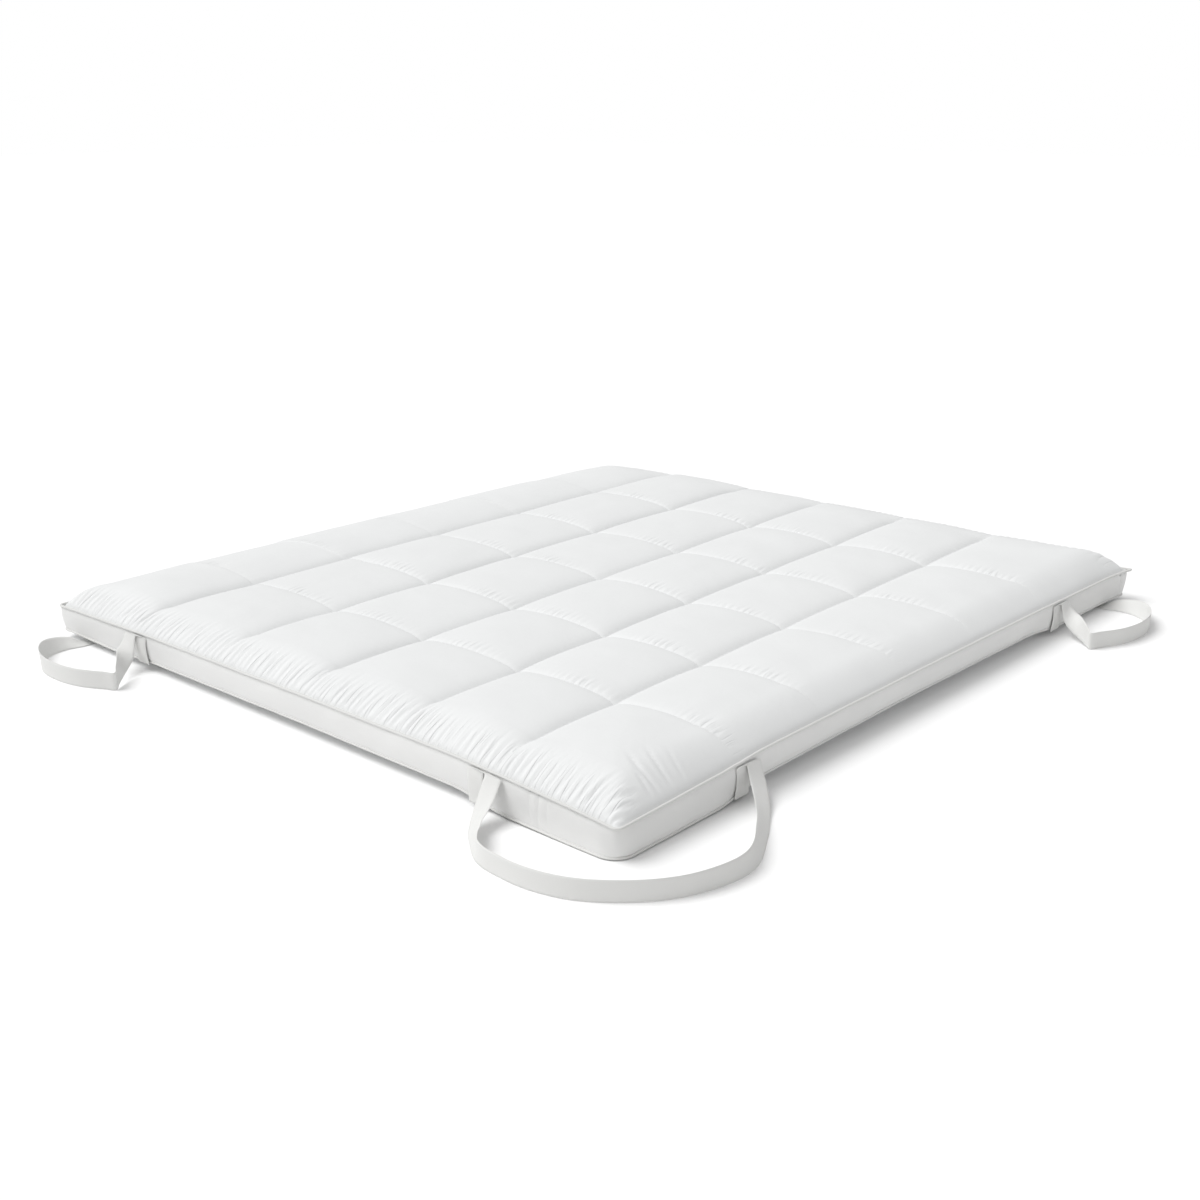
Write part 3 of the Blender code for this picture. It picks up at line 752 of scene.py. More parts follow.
def make_object(name, points, faces, uv, finish, welded=False):
    """An object at the origin from vertices, groups of faces, a texture place for each vertex and
    a material. Where welded, vertices that lie on one another are merged."""
    mesh = bpy.data.meshes.new(name)
    mesh.from_pydata(points.tolist(), [], [face for group in faces for face in group.tolist()])
    layer = mesh.uv_layers.new(name="cloth")
    corners = np.empty(len(mesh.loops), dtype=np.int32)
    mesh.loops.foreach_get("vertex_index", corners)
    layer.data.foreach_set("uv", uv[corners].astype(np.float32).ravel())
    bm = bmesh.new()
    bm.from_mesh(mesh)
    if welded:
        bmesh.ops.remove_doubles(bm, verts=bm.verts[:], dist=WELD_DISTANCE)
    bmesh.ops.recalc_face_normals(bm, faces=bm.faces[:])
    bm.to_mesh(mesh)
    bm.free()
    mesh.shade_smooth()
    mesh.materials.append(finish)
    obj = bpy.data.objects.new(name, mesh)
    bpy.context.scene.collection.objects.link(obj)
    return obj


def dress(obj, slot, *nodes):
    """The piece rides on the body and stands for CAD nodes, which it hides. The slot is not used.
    """
    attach(obj, BODY)
    if nodes:
        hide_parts(*nodes)
    return obj


def add_node(tree, kind, links=(), **settings):
    """A node of this kind, with its settings and its links as (input, output socket) pairs. A
    setting that names an input sets that input's value."""
    node = tree.nodes.new(kind)
    for name, value in settings.items():
        socket = next((item for item in node.inputs if item.name == name.replace("_", " ")), None)
        if socket is not None:
            socket.default_value = value
        else:
            setattr(node, name, value)
    for place, source in links:
        tree.links.new(source, node.inputs[place])
    return node


def new_material(name, colour, roughness, sheen=0.0, sheen_roughness=0.5, ior=1.5):
    """A material by its real name, and its tree and shader, with the steady values set."""
    material = bpy.data.materials.new(name)
    material.use_nodes = True
    tree = material.node_tree
    shader = tree.nodes["Principled BSDF"]
    shader.inputs["Base Color"].default_value = (*colour, 1.0)
    shader.inputs["Roughness"].default_value = roughness
    shader.inputs["Sheen Weight"].default_value = sheen
    shader.inputs["Sheen Roughness"].default_value = sheen_roughness
    shader.inputs["IOR"].default_value = ior
    return material, tree, shader


def woven(tree, place, pitch, turn=0.0):
    """Height of a plain weave: warp and weft threads as rounded ridges that pass over and under
    each other, worked out as sin(u) and sin(v) waves whose sign swaps from thread to thread."""
    turned = add_node(tree, "ShaderNodeMapping", [("Vector", place)],
                      Rotation=(0.0, 0.0, turn), Scale=(1 / pitch, 1 / pitch, 1.0))
    axes = add_node(tree, "ShaderNodeSeparateXYZ", [("Vector", turned.outputs["Vector"])])
    waves = []
    for axis in ("X", "Y"):
        angle = add_node(tree, "ShaderNodeMath", [(0, axes.outputs[axis])], operation="MULTIPLY")
        angle.inputs[1].default_value = math.pi
        wave = add_node(tree, "ShaderNodeMath", [(0, angle.outputs[0])], operation="SINE")
        waves.append(wave.outputs[0])
    return add_node(tree, "ShaderNodeMath", [(0, waves[0]), (1, waves[1])],
                    operation="MULTIPLY").outputs[0]


def percale(name, colour, tint):
    """Cotton percale, bleached and calendered: matt and smooth, with a faint sheen at grazing
    angles. Real threads are 0.25 mm apart; the weave is drawn at 1.1 mm so that it shows. Its
    slubs are about 6 mm long, and its crinkle about 40 mm."""
    material, tree, shader = new_material(name, colour, 0.82, 0.10, 0.45, 1.47)
    place = add_node(tree, "ShaderNodeUVMap", uv_map="cloth").outputs["UV"]
    weave = woven(tree, place, 0.0011)
    slub = add_node(tree, "ShaderNodeTexNoise", [("Vector", place)], Scale=160.0, Detail=3.0,
                    Roughness=0.6)
    crinkle = add_node(tree, "ShaderNodeTexNoise", [("Vector", place)], Scale=26.0, Detail=4.0,
                       Roughness=0.55, Distortion=0.6)
    under = []
    for height, strength, distance in ((crinkle.outputs["Fac"], 0.35, 0.0022),
                                       (slub.outputs["Fac"], 0.30, 0.0004),
                                       (weave, 0.25, 0.00012)):
        layer = add_node(tree, "ShaderNodeBump", [("Height", height)] + under,
                         Strength=strength, Distance=distance)
        under = [("Normal", layer.outputs["Normal"])]
    gathered = add_node(tree, "ShaderNodeBump", [("Height", fine_gathers(tree, place))] + under,
                        Strength=1.0, Distance=0.0008, invert=True)
    tree.links.new(gathered.outputs["Normal"], shader.inputs["Normal"])
    tone = add_node(tree, "ShaderNodeTexNoise", [("Vector", place)], Scale=7.0, Detail=2.0)
    ramp = add_node(tree, "ShaderNodeValToRGB", [("Fac", tone.outputs["Fac"])])
    shade = np.array(colour)
    ramp.color_ramp.elements[0].position = 0.32
    ramp.color_ramp.elements[1].position = 0.68
    ramp.color_ramp.elements[0].color = (*(shade * tint), 1.0)
    ramp.color_ramp.elements[1].color = (*shade, 1.0)
    tree.links.new(ramp.outputs["Color"], shader.inputs["Base Color"])
    rough = add_node(tree, "ShaderNodeMapRange", [("Value", slub.outputs["Fac"])], To_Min=0.76,
                     To_Max=0.90)
    tree.links.new(rough.outputs["Result"], shader.inputs["Roughness"])
    return material


def fine_gathers(tree, place):
    """Depth of the finest gathers: narrow lines, about 15 mm apart and nine times as long, where
    stretched noise crosses its middle, as deep as the mesh's gather value says."""
    stretched = add_node(tree, "ShaderNodeMapping", [("Vector", place)], Scale=(1.0, 0.11, 1.0))
    lines = add_node(tree, "ShaderNodeTexNoise", [("Vector", stretched.outputs["Vector"])],
                     Scale=68.0, Detail=1.5)
    off_middle = add_node(tree, "ShaderNodeMath", [(0, lines.outputs["Fac"])],
                          operation="SUBTRACT")
    off_middle.inputs[1].default_value = 0.5
    away = add_node(tree, "ShaderNodeMath", [(0, off_middle.outputs[0])], operation="ABSOLUTE")
    trough = add_node(tree, "ShaderNodeMapRange", [("Value", away.outputs[0])],
                      interpolation_type="SMOOTHSTEP", From_Max=0.075, To_Min=1.0, To_Max=0.0)
    strength = add_node(tree, "ShaderNodeAttribute", attribute_name="gather")
    return add_node(tree, "ShaderNodeMath",
                    [(0, trough.outputs["Result"]), (1, strength.outputs["Fac"])],
                    operation="MULTIPLY").outputs[0]


def shaded_piping_cover(colour):
    """Percale cut on the bias over a cotton cord: its threads run slantwise round the cord, drawn 1
    mm apart so that they show. Its colour, darker than the cloth's, is painted shade on the cords."""
    material, tree, shader = new_material("bias_cut_percale_painted_shade", colour, 0.80, 0.10, 0.45, 1.47)
    place = add_node(tree, "ShaderNodeUVMap", uv_map="cloth").outputs["UV"]
    weave = woven(tree, place, 0.0010, math.radians(45))
    uneven = add_node(tree, "ShaderNodeTexNoise", [("Vector", place)], Scale=70.0, Detail=3.0)
    first = add_node(tree, "ShaderNodeBump", [("Height", uneven.outputs["Fac"])], Strength=0.4,
                     Distance=0.0012)
    second = add_node(tree, "ShaderNodeBump", [("Height", weave),
                                               ("Normal", first.outputs["Normal"])],
                      Strength=0.3, Distance=0.00015)
    tree.links.new(second.outputs["Normal"], shader.inputs["Normal"])
    rough = add_node(tree, "ShaderNodeMapRange", [("Value", uneven.outputs["Fac"])], To_Min=0.72,
                     To_Max=0.88)
    tree.links.new(rough.outputs["Result"], shader.inputs["Roughness"])
    return material


def ribbed_elastic(colour):
    """Woven elastic: rubber strands 1.75 mm apart show as lengthwise ribs under a polyester weave,
    whose cross picks are finer. It is matt, with a slight sheen along the ribs, and painted shade
    darkens the grooves between the ribs."""
    material, tree, shader = new_material("woven_elastic", colour, 0.78, 0.15, 0.4, 1.50)
    place = add_node(tree, "ShaderNodeUVMap", uv_map="cloth").outputs["UV"]
    axes = add_node(tree, "ShaderNodeSeparateXYZ", [("Vector", place)])
    heights = []
    for axis, pitch in (("Y", 0.00175), ("X", 0.0011)):
        angle = add_node(tree, "ShaderNodeMath", [(0, axes.outputs[axis])], operation="MULTIPLY")
        angle.inputs[1].default_value = 2 * math.pi / pitch
        wave = add_node(tree, "ShaderNodeMath", [(0, angle.outputs[0])], operation="COSINE")
        heights.append(wave.outputs[0])
    ribs = add_node(tree, "ShaderNodeBump", [("Height", heights[0])], Strength=0.45,
                    Distance=0.00025)
    picks = add_node(tree, "ShaderNodeBump", [("Height", heights[1]),
                                              ("Normal", ribs.outputs["Normal"])],
                     Strength=0.30, Distance=0.00012)
    tree.links.new(picks.outputs["Normal"], shader.inputs["Normal"])
    # Painted shade: the colour falls to 93 % where the ribs' height is lowest, in the grooves
    # between them.
    shade = np.array(colour)
    ramp = add_node(tree, "ShaderNodeValToRGB",
                    [("Fac", add_node(tree, "ShaderNodeMapRange", [("Value", heights[0])],
                                      From_Min=-1.0).outputs["Result"])])
    ramp.color_ramp.elements[0].color = (*(shade * 0.93), 1.0)
    ramp.color_ramp.elements[1].color = (*shade, 1.0)
    tree.links.new(ramp.outputs["Color"], shader.inputs["Base Color"])
    return material


def sewing_thread(colour):
    """Polyester core-spun thread: two plies with a twist every 0.7 mm, a little shinier than the
    cloth."""
    material, tree, shader = new_material("polyester_thread", colour, 0.55, 0.05, 0.5, 1.55)
    place = add_node(tree, "ShaderNodeUVMap", uv_map="cloth").outputs["UV"]
    ply = add_node(tree, "ShaderNodeTexWave", [("Vector", place)], Scale=900.0, Distortion=0.4,
                   bands_direction="DIAGONAL")
    bump = add_node(tree, "ShaderNodeBump", [("Height", ply.outputs["Fac"])], Strength=0.4,
                    Distance=0.0001)
    tree.links.new(bump.outputs["Normal"], shader.inputs["Normal"])
    return material


def studio_paint(colour):
    """Matt white paint, rolled: pale, with the faintest grain."""
    material, tree, shader = new_material("rolled_matt_paint", colour, 0.9, ior=1.45)
    shader.inputs["Specular IOR Level"].default_value = 0.2
    place = add_node(tree, "ShaderNodeTexCoord").outputs["Object"]
    grain = add_node(tree, "ShaderNodeTexNoise", [("Vector", place)], Scale=300.0)
    bump = add_node(tree, "ShaderNodeBump", [("Height", grain.outputs["Fac"])], Strength=0.05,
                    Distance=0.0002)
    tree.links.new(bump.outputs["Normal"], shader.inputs["Normal"])
    return material


def material(name):
    """The named material, made from its colour property on its first use."""
    colours = bpy.context.scene.topper_colours
    makers = {
        "top_percale": lambda: percale("top_percale", tuple(colours.percale), 0.985),
        "band_percale": lambda: percale("band_percale", tuple(colours.band), 0.975),
        "bias_cut_percale_painted_shade": lambda: shaded_piping_cover(tuple(colours.piping)),
        "woven_elastic": lambda: ribbed_elastic(tuple(colours.elastic)),
        "polyester_thread": lambda: sewing_thread(tuple(colours.thread)),
        "rolled_matt_paint": lambda: studio_paint(tuple(colours.floor)),
    }
    return bpy.data.materials.get(name) or makers[name]()


def top_rows():
    """The places of the top's rows along Y, and whether each row needs the finer gather lines."""
    y = grid_lines(HALF_Y, CROSS_SEAMS, SPACING_Y)
    low, high = CREASE_ZONE
    inside = y[(y > low) & (y < high)]
    closer = np.linspace(inside[0], inside[-1], int((inside[-1] - inside[0]) / CREASE_SPACING))
    y = np.unique(np.round(np.concatenate([y[(y <= low) | (y >= high)], closer]), 7))
    fine = HALF_Y - np.abs(y) < EDGE_GATHER_ZONE
    for seam in CROSS_SEAMS:
        fine |= (y - seam > SEAM_GATHER_ZONE[0]) & (y - seam < SEAM_GATHER_ZONE[1])
    return y, fine


def top_surface(x, y, sizes):
    """The top's points over nominal places: the quilt's height with its gathers and creases, the
    plan drawn in slightly to meet the piping, and the seams' small drift."""
    height = quilt_height(x, y, sizes)
    height += edge_gathers(x, y, sizes) + seam_gathers(x, y, sizes) + creases(x, y)
    drift_x, drift_y = wander(x, y)
    (px, py), _ = rounded(x, y, 0.0, TOP_CORNER - TOP_INSET)
    out = drawn_out(x, y)
    px = px * (1 - TOP_INSET / HALF_X) + drift_x + np.sign(x) * out
    py = py * (1 - TOP_INSET / HALF_Y) + drift_y + np.sign(y) * out
    return np.stack([px, py, height], axis=-1)


def make_pad(sizes):
    """The filled pad as one closed surface: rows across the top, coarse or fine, a hidden wall
    behind the band, and a flat underside."""
    rows, is_fine = top_rows()
    coarse_x = grid_lines(HALF_X, LONG_SEAMS, SPACING_X)
    fine_x, owner, inner, parts, first = split_lines(coarse_x, GATHER_SPACING)
    points, nominal, numbers, start = [], [], [], 0
    for fine in (True, False):
        lines = fine_x if fine else coarse_x
        some = rows[is_fine == fine]
        x, y = np.meshgrid(lines, some)
        points.append(top_surface(x, y, sizes).reshape(-1, 3))
        nominal.append(np.stack([x, y], axis=-1).reshape(-1, 2))
        numbers.append(start + np.arange(x.size).reshape(x.shape))
        start += x.size
    picked = {True: iter(numbers[0]), False: iter(numbers[1])}
    ordered = [next(picked[bool(fine)]) for fine in is_fine]
    faces = []
    for low, high, low_fine, high_fine in zip(ordered, ordered[1:], is_fine, is_fine[1:]):
        if low_fine == high_fine:
            faces.append(quads(low, high))
        else:
            coarse, fine = (high, low) if low_fine else (low, high)
            faces.append(fans(coarse, fine, owner, inner, parts, first))
    nominal = np.concatenate(nominal)
    loop = np.concatenate([ordered[0][:-1], [row[-1] for row in ordered[:-1]],
                           ordered[-1][:0:-1], [row[0] for row in ordered[:0:-1]]])
    x, y = nominal[loop].T
    rings = [side_place(x, y, share, PAD_BEHIND_BAND)
             for share in np.linspace(*WALL_SHARES, WALL_ROWS + 1)]
    rings.append(side_place(x, y, 1.0, HEM_CLEARANCE))
    (px, py), _ = rounded(x, y, UNDERSIDE_INSET, UNDERSIDE_CORNER)
    rings.append(np.stack([px, py, 0 * px], axis=-1))
    last = loop
    for ring in rings:
        number = start + np.arange(len(loop))
        faces.append(quads(np.append(last, last[0]), np.append(number, number[0])))
        points.append(ring)
        start += len(loop)
        last = number
    points.append(np.zeros((1, 3)))
    faces.append(np.stack([last, np.roll(last, -1), np.full(len(last), start)], axis=1))
    uv = np.concatenate([nominal] + [np.stack([x, y], axis=-1)] * len(rings) + [[[0.0, 0.0]]])
    pad = make_object("quilted_pad", np.concatenate(points), faces, uv, material("top_percale"))
    strength = np.zeros(len(uv))
    strength[:len(nominal)] = gather_strength(*nominal.T)
    pad.data.attributes.new("gather", "FLOAT", "POINT").data.foreach_set("value", strength)
    return pad


def outline():
    """Nominal places round the outline, evenly spaced, without the first one repeated."""
    along_x = np.linspace(-HALF_X, HALF_X, int(2 * HALF_X / OUTLINE_SPACING) + 1)
    along_y = np.linspace(-HALF_Y, HALF_Y, int(2 * HALF_Y / OUTLINE_SPACING) + 1)
    x = np.concatenate([along_x[:-1], np.full(len(along_y) - 1, HALF_X),
                        along_x[:0:-1], np.full(len(along_y) - 1, -HALF_X)])
    y = np.concatenate([np.full(len(along_x) - 1, -HALF_Y), along_y[:-1],
                        np.full(len(along_x) - 1, HALF_Y), along_y[:0:-1]])
    return x, y


def lengths(points):
    """Distance along a line of points, from 0 at the first."""
    steps = np.linalg.norm(np.diff(points, axis=0), axis=1)
    return np.concatenate([[0], np.cumsum(steps)])


def grid_faces(rows, columns):
    """Faces of a grid of rows and columns of vertices, numbered row by row."""
    number = np.arange(rows * columns).reshape(rows, columns)
    return np.concatenate([quads(low, high) for low, high in zip(number, number[1:])])


def band_puckers(x, y, share, sizes):
    """Puckers of the band: waves along it that are strongest at its two seams, and its folds."""
    along = x + y
    fine_span, broad_span = PUCKER_SPANS
    near_seam = np.exp(-share / PUCKER_REACH) + HEM_PUCKERS * np.exp(-(1 - share) / PUCKER_REACH)
    fine = soft_noise(along, 0 * along, fine_span, SEED_PUCKERS)
    broad = soft_noise(along, share * PUCKER_DRIFT, broad_span, SEED_PUCKERS + 1)
    folds = 0.0
    for fold in BAND_FOLDS:
        distance = np.hypot(x - fold.x, y - fold.y)
        folds = folds + fold.depth * np.exp(-(distance / fold.width) ** 2) * (1 - share) ** 0.5
    return sizes.pucker_depth * (fine * near_seam + BROAD_PUCKERS * broad) - folds


def make_band(sizes):
    """The side band: one strip of cloth round the pad from the top cord to the bottom cord,
    side_place at shares of its height that lie closest at the cords, pinched in there and moved
    out and in by its puckers."""
    x, y = (np.append(places, places[0]) for places in outline())
    height = np.linalg.norm(hem_place(x, y) - seam_place(x, y), axis=-1)
    eased = smoothstep(0, 1, np.linspace(0, 1, BAND_ROWS))[:, None]
    shares = BAND_IN_SEAM / height + eased * (1 - 2 * BAND_IN_SEAM / height)
    points = []
    for share in shares:
        pinched = (TOP_PINCH * np.exp(-share * height / PINCH_DECAY)
                   + HEM_PINCH * np.exp(-(1 - share) * height / PINCH_DECAY))
        points.append(side_place(x, y, share, pinched - band_puckers(x, y, share, sizes)))
    points = np.array(points)
    points[:, -1] = points[:, 0]
    run = lengths(seam_place(x, y))
    uv = np.stack([np.broadcast_to(run, shares.shape), shares * height], axis=-1)
    band = make_object("side_band_cloth", points.reshape(-1, 3),
                       [grid_faces(BAND_ROWS, len(x))], uv.reshape(-1, 2),
                       material("band_percale"), welded=True)
    shell = band.modifiers.new("Cloth thickness", "SOLIDIFY")
    shell.thickness = BAND_THICKNESS
    shell.offset = 0.0
    return band


def tube(name, path, radius, finish):
    """A closed cord: a circle of this radius carried round a closed level path, one ring of
    vertices at each of its points."""
    ahead = unit(np.roll(path, -1, axis=0) - np.roll(path, 1, axis=0))
    side = unit(np.cross(ahead, (0.0, 0.0, 1.0)))
    up = np.cross(side, ahead)
    angle = np.linspace(0, 2 * np.pi, CORD_SIDES + 1)[None, :, None]
    rings = path[:, None] + radius * (side[:, None] * np.cos(angle) + up[:, None] * np.sin(angle))
    rings = np.concatenate([rings, rings[:1]])
    run = lengths(np.concatenate([path, path[:1]]))
    around = np.linspace(0, 2 * np.pi * radius, CORD_SIDES + 1)
    uv = np.stack(np.meshgrid(run, around, indexing="ij"), axis=-1)
    return make_object(name, rings.reshape(-1, 3), [grid_faces(len(rings), CORD_SIDES + 1)],
                       uv.reshape(-1, 2), finish, welded=True)


def cord_path(x, y, place):
    """A cord's own line: the seam's line with small waves, and drawn out at its two ears."""
    along = x + y
    height, span = CORD_WAVES
    points = place(x, y)
    points[:, 2] += height * soft_noise(along, 0 * along, span, SEED_PUCKERS + 2)
    if place is seam_place:
        points[:, :2] += drawn_out(x, y, "ear")[:, None] * np.sign(np.stack([x, y], axis=-1))
    return points


def tab_stations(strap, end):
    """A strap's sewn end, from below the hem up over the band and folded at the top seam."""
    side = np.array(strap.first if end == 0 else strap.second, float)
    out = -np.array(strap.second if end == 0 else strap.first, float)
    corner = np.array(strap.corner, float)
    half = STRAP_WIDTH / 2
    tab, leave = strap.tabs[end], strap.leaves[end]
    samples = corner + np.linspace(tab - half, tab + half, TAB_SAMPLES)[:, None] * side
    x, y = samples[:, 0], samples[:, 1]

    def station(along, outward, height):
        """The two long edges of the strap there, the one away from the corner first."""
        pair = [corner + (along + reach) * side + outward * out for reach in (half, -half)]
        return np.array([(*place, height) for place in pair])

    def outward_of(share):
        return float(np.max((side_place(x, y, min(share, 1))[:, :2] - samples) @ out))

    stations = []
    for share in TAB_LEVELS:
        near, far = TAB_STAND_OFF
        stand_off = near + (far - near) * min(share, 1)
        place = side_place(*samples[TAB_SAMPLES // 2], share)
        stations.append(station(tab, outward_of(share) + stand_off, float(place[2])))
    top = SEAM_HEIGHT + float(np.min(edge_value(x, y, "rise")))
    height = top - FOLD_BELOW_SEAM - FOLD_RADIUS
    outward = outward_of(FOLD_LEVEL) + TAB_STAND_OFF[0]
    for step in range(FOLD_STEPS + 1):
        angle = np.pi * step / FOLD_STEPS
        along = tab + (leave - tab) * step / FOLD_STEPS
        stations.append(station(along, outward + FOLD_RADIUS * (1 - np.cos(angle)),
                                height + FOLD_RADIUS * np.sin(angle)))
    return stations, np.array((*out, 0.0))


def smooth(values, steps):
    """A Catmull-Rom curve through the values, with this many steps from each to the next."""
    padded = np.concatenate([2 * values[:1] - values[1:2], values, 2 * values[-1:] - values[-2:-1]])
    fine = np.linspace(0, len(values) - 1, steps * (len(values) - 1) + 1)
    index = np.minimum(fine.astype(int), len(values) - 2)
    t = (fine - index)[:, None]
    a, b, c, d = (padded[index + shift] for shift in range(4))
    return 0.5 * (2 * b + (c - a) * t + (2 * a - 5 * b + 4 * c - d) * t**2
                  + (3 * b - a - 3 * c + d) * t**3)


def run_stations(strap):
    """The strap's run over the floor, on a smooth curve through its knots."""
    corner = np.array(strap.corner, float)
    axes = np.array([strap.first, strap.second], float)
    local = smooth(np.array(strap.knots, float), RUN_STEPS)
    heading = unit(np.gradient(local[:, :2], axis=0))
    left_of = np.stack([-heading[:, 1], heading[:, 0]], axis=1)
    lean = np.radians(local[:, 2])[:, None]
    lift = STRAP_THICKNESS / 2 * np.abs(np.sin(lean)) + FLOOR_GAP
    low = np.concatenate([corner + local[:, :2] @ axes, lift], axis=1)
    across = np.concatenate([(left_of * np.sin(lean)) @ axes, np.cos(lean)], axis=1)
    return [np.array([place, place + STRAP_WIDTH * side]) for place, side in zip(low, across)]


def hermite(share, start, end, start_slope, end_slope):
    """A cubic curve at shares of its way, with its places and its slopes at both ends."""
    return ((2 * share**3 - 3 * share**2 + 1) * start + (3 * share**2 - 2 * share**3) * end
            + (share**3 - 2 * share**2 + share) * start_slope
            + (share**3 - share**2) * end_slope)


def fall_stations(fold, start_heading, landing, landing_heading):
    """The strap between its fold at the seam and its first place on the floor: a Hermite curve,
    with the strap turning evenly from one to the other and kept square to its path."""
    start, end = fold.mean(axis=0), landing.mean(axis=0)
    reach = np.linalg.norm(end - start)
    across = [(pair[1] - pair[0]) / STRAP_WIDTH for pair in (fold, landing)]
    stations = []
    shares = np.linspace(0, 1, FALL_STEPS + 2)[:, None]
    centres = hermite(shares, start, end, reach * start_heading, reach * landing_heading)
    headings = unit(np.gradient(centres, axis=0))
    for share, centre, heading in list(zip(shares[:, 0], centres, headings))[1:-1]:
        side = (1 - share) * across[0] + share * across[1]
        side = unit(side - FALL_SQUARE * np.sin(np.pi * share) * np.dot(side, heading) * heading)
        pair = np.array([centre - side * STRAP_WIDTH / 2, centre + side * STRAP_WIDTH / 2])
        least = FLOOR_GAP + STRAP_THICKNESS / 2 * np.hypot(side[0], side[1])
        pair[:, 2] += max(0.0, least - pair[:, 2].min())
        stations.append(pair)
    return stations


def strap_edges(strap):
    """The strap's two long edges from one sewn end to the other, as stations of two points."""
    run = run_stations(strap)
    ends = []
    for end, (landing, beyond) in enumerate(((run[0], run[1]), (run[-1], run[-2]))):
        stations, out = tab_stations(strap, end)
        start_heading = FALL_OUT * out - np.array([0.0, 0.0, FALL_DOWN])
        towards = landing.mean(axis=0) - stations[-1].mean(axis=0)
        landing_heading = beyond.mean(axis=0) - landing.mean(axis=0)
        if end == 0 and strap.knots is UNDER_THE_CORNER:
            landing_heading = towards
        fall = fall_stations(stations[-1], start_heading, landing, unit(landing_heading))
        ends.append(stations + fall)
    return np.array(ends[0] + run + ends[1][::-1])


def resample(values, widest):
    """A centripetal Catmull-Rom curve through uneven stations, at steps of at most widest."""
    middle = values.reshape(len(values), -1, 3).mean(axis=1)
    chord = np.linalg.norm(np.diff(middle, axis=0), axis=1)
    knot = np.concatenate([[0], np.cumsum(np.sqrt(np.maximum(chord, TINY)))])
    gap = np.diff(knot)[(slice(None),) + (None,) * (values.ndim - 1)]
    slope = np.diff(values, axis=0) / gap
    tangent = np.concatenate([slope[:1],
                              (slope[:-1] * gap[1:] + slope[1:] * gap[:-1]) / (gap[1:] + gap[:-1]),
                              slope[-1:]])
    parts = np.ceil(chord / widest).astype(int)
    index = np.repeat(np.arange(len(parts)), parts)
    first = np.concatenate([[0], np.cumsum(parts)])
    t = (np.arange(len(index)) - first[index]) / parts[index]
    index, t = np.append(index, len(parts) - 1), np.append(t, 1.0)
    t = t[(slice(None),) + (None,) * (values.ndim - 1)]
    return hermite(t, values[index], values[index + 1], gap[index] * tangent[index],
                   gap[index] * tangent[index + 1])


def ribbon(name, edges, thickness, finish):
    """A strap: a flat section with rounded long edges carried along its two edge lines."""
    middle, half = edges.mean(axis=1), (edges[:, 1] - edges[:, 0]) / 2
    ahead = np.gradient(middle, axis=0)
    normal = unit(np.cross(ahead, half))
    width = np.linalg.norm(half, axis=1).mean()
    flat = np.linspace(-1, 1, 11)[1:-1] * (1 - thickness / width)
    turn = np.radians(np.linspace(-60, 60, 3))
    end_out = 1 - thickness / 2 / width * (1 - np.cos(turn))
    lift = np.concatenate([np.full(len(flat), -1.0), np.sin(turn),
                           np.full(len(flat), 1.0), -np.sin(turn)])
    across = np.concatenate([flat, end_out, flat[::-1], -end_out])
    across, lift = np.append(across, across[0]), np.append(lift, lift[0])
    points = (middle[:, None] + half[:, None] * across[None, :, None]
              + normal[:, None] * (lift * thickness / 2)[None, :, None])
    run = lengths(middle)
    uv = np.stack(np.broadcast_arrays(run[:, None], across[None] * width), axis=-1)
    rows, columns = points.shape[:2]
    ends = [row * columns + np.arange(columns - 1)[None] for row in (0, rows - 1)]
    return make_object(name, points.reshape(-1, 3), [grid_faces(rows, columns)] + ends,
                       uv.reshape(-1, 2), finish, welded=True)


def stitches(name, lines, sizes, finish):
    """Rows of stitches along lines on the top: every stitch is a short thread that leaves the
    cloth, lies on it and goes back in, as three rings of four points."""
    up = np.array((0.0, 0.0, 1.0))
    rings = []
    for points in lines:
        run = lengths(points)
        count = max(1, int(run[-1] / sizes.stitch_length))
        starts = np.arange(count) * run[-1] / count
        stations = np.array([starts + share * run[-1] / count for share in STITCH_PLACES])
        place = np.stack([np.interp(stations, run, points[:, axis]) for axis in range(3)], axis=-1)
        side = np.cross(unit(place[2] - place[0]), up)
        girth = sizes.thread_radius * np.array(STITCH_GIRTHS)[:, None, None]
        place = place + up * sizes.thread_radius * np.array(STITCH_LIFTS)[:, None, None]
        corners = [place + girth * (side * np.cos(angle) + up * np.sin(angle))
                   for angle in np.arange(4) * np.pi / 2]
        rings.append(np.stack(corners, axis=2).transpose(1, 0, 2, 3).reshape(-1, 12, 3))
    blocks = np.concatenate(rings)
    base = (np.arange(len(blocks)) * 12)[:, None, None]
    walls = [[ring * 4 + side, ring * 4 + (side + 1) % 4, (ring + 1) * 4 + (side + 1) % 4,
              (ring + 1) * 4 + side] for ring in range(2) for side in range(4)]
    faces = (base + np.array(walls + [[3, 2, 1, 0], [8, 9, 10, 11]])[None]).reshape(-1, 4)
    around, along = np.meshgrid(np.arange(4) * sizes.thread_radius,
                                np.arange(3) * STITCH_UV_STEP)
    uv = np.tile(np.stack([along, around], axis=-1).reshape(-1, 2), (len(blocks), 1))
    return make_object(name, blocks.reshape(-1, 3), [faces], uv, finish)


def stitched_lines(sizes):
    """The quilting seams' stitched lines on the top, stopping short of the piping."""
    lines = []
    for seams, half, margin in ((LONG_SEAMS, HALF_Y, STITCH_MARGINS[0]),
                                (CROSS_SEAMS, HALF_X, STITCH_MARGINS[1])):
        along = np.arange(-half + margin, half - margin, STITCH_LINE_STEP)
        for seam in seams:
            fixed = np.full_like(along, seam)
            x, y = (fixed, along) if seams is LONG_SEAMS else (along, fixed)
            lines.append(top_surface(x[None], y[None], sizes)[0])
    return lines


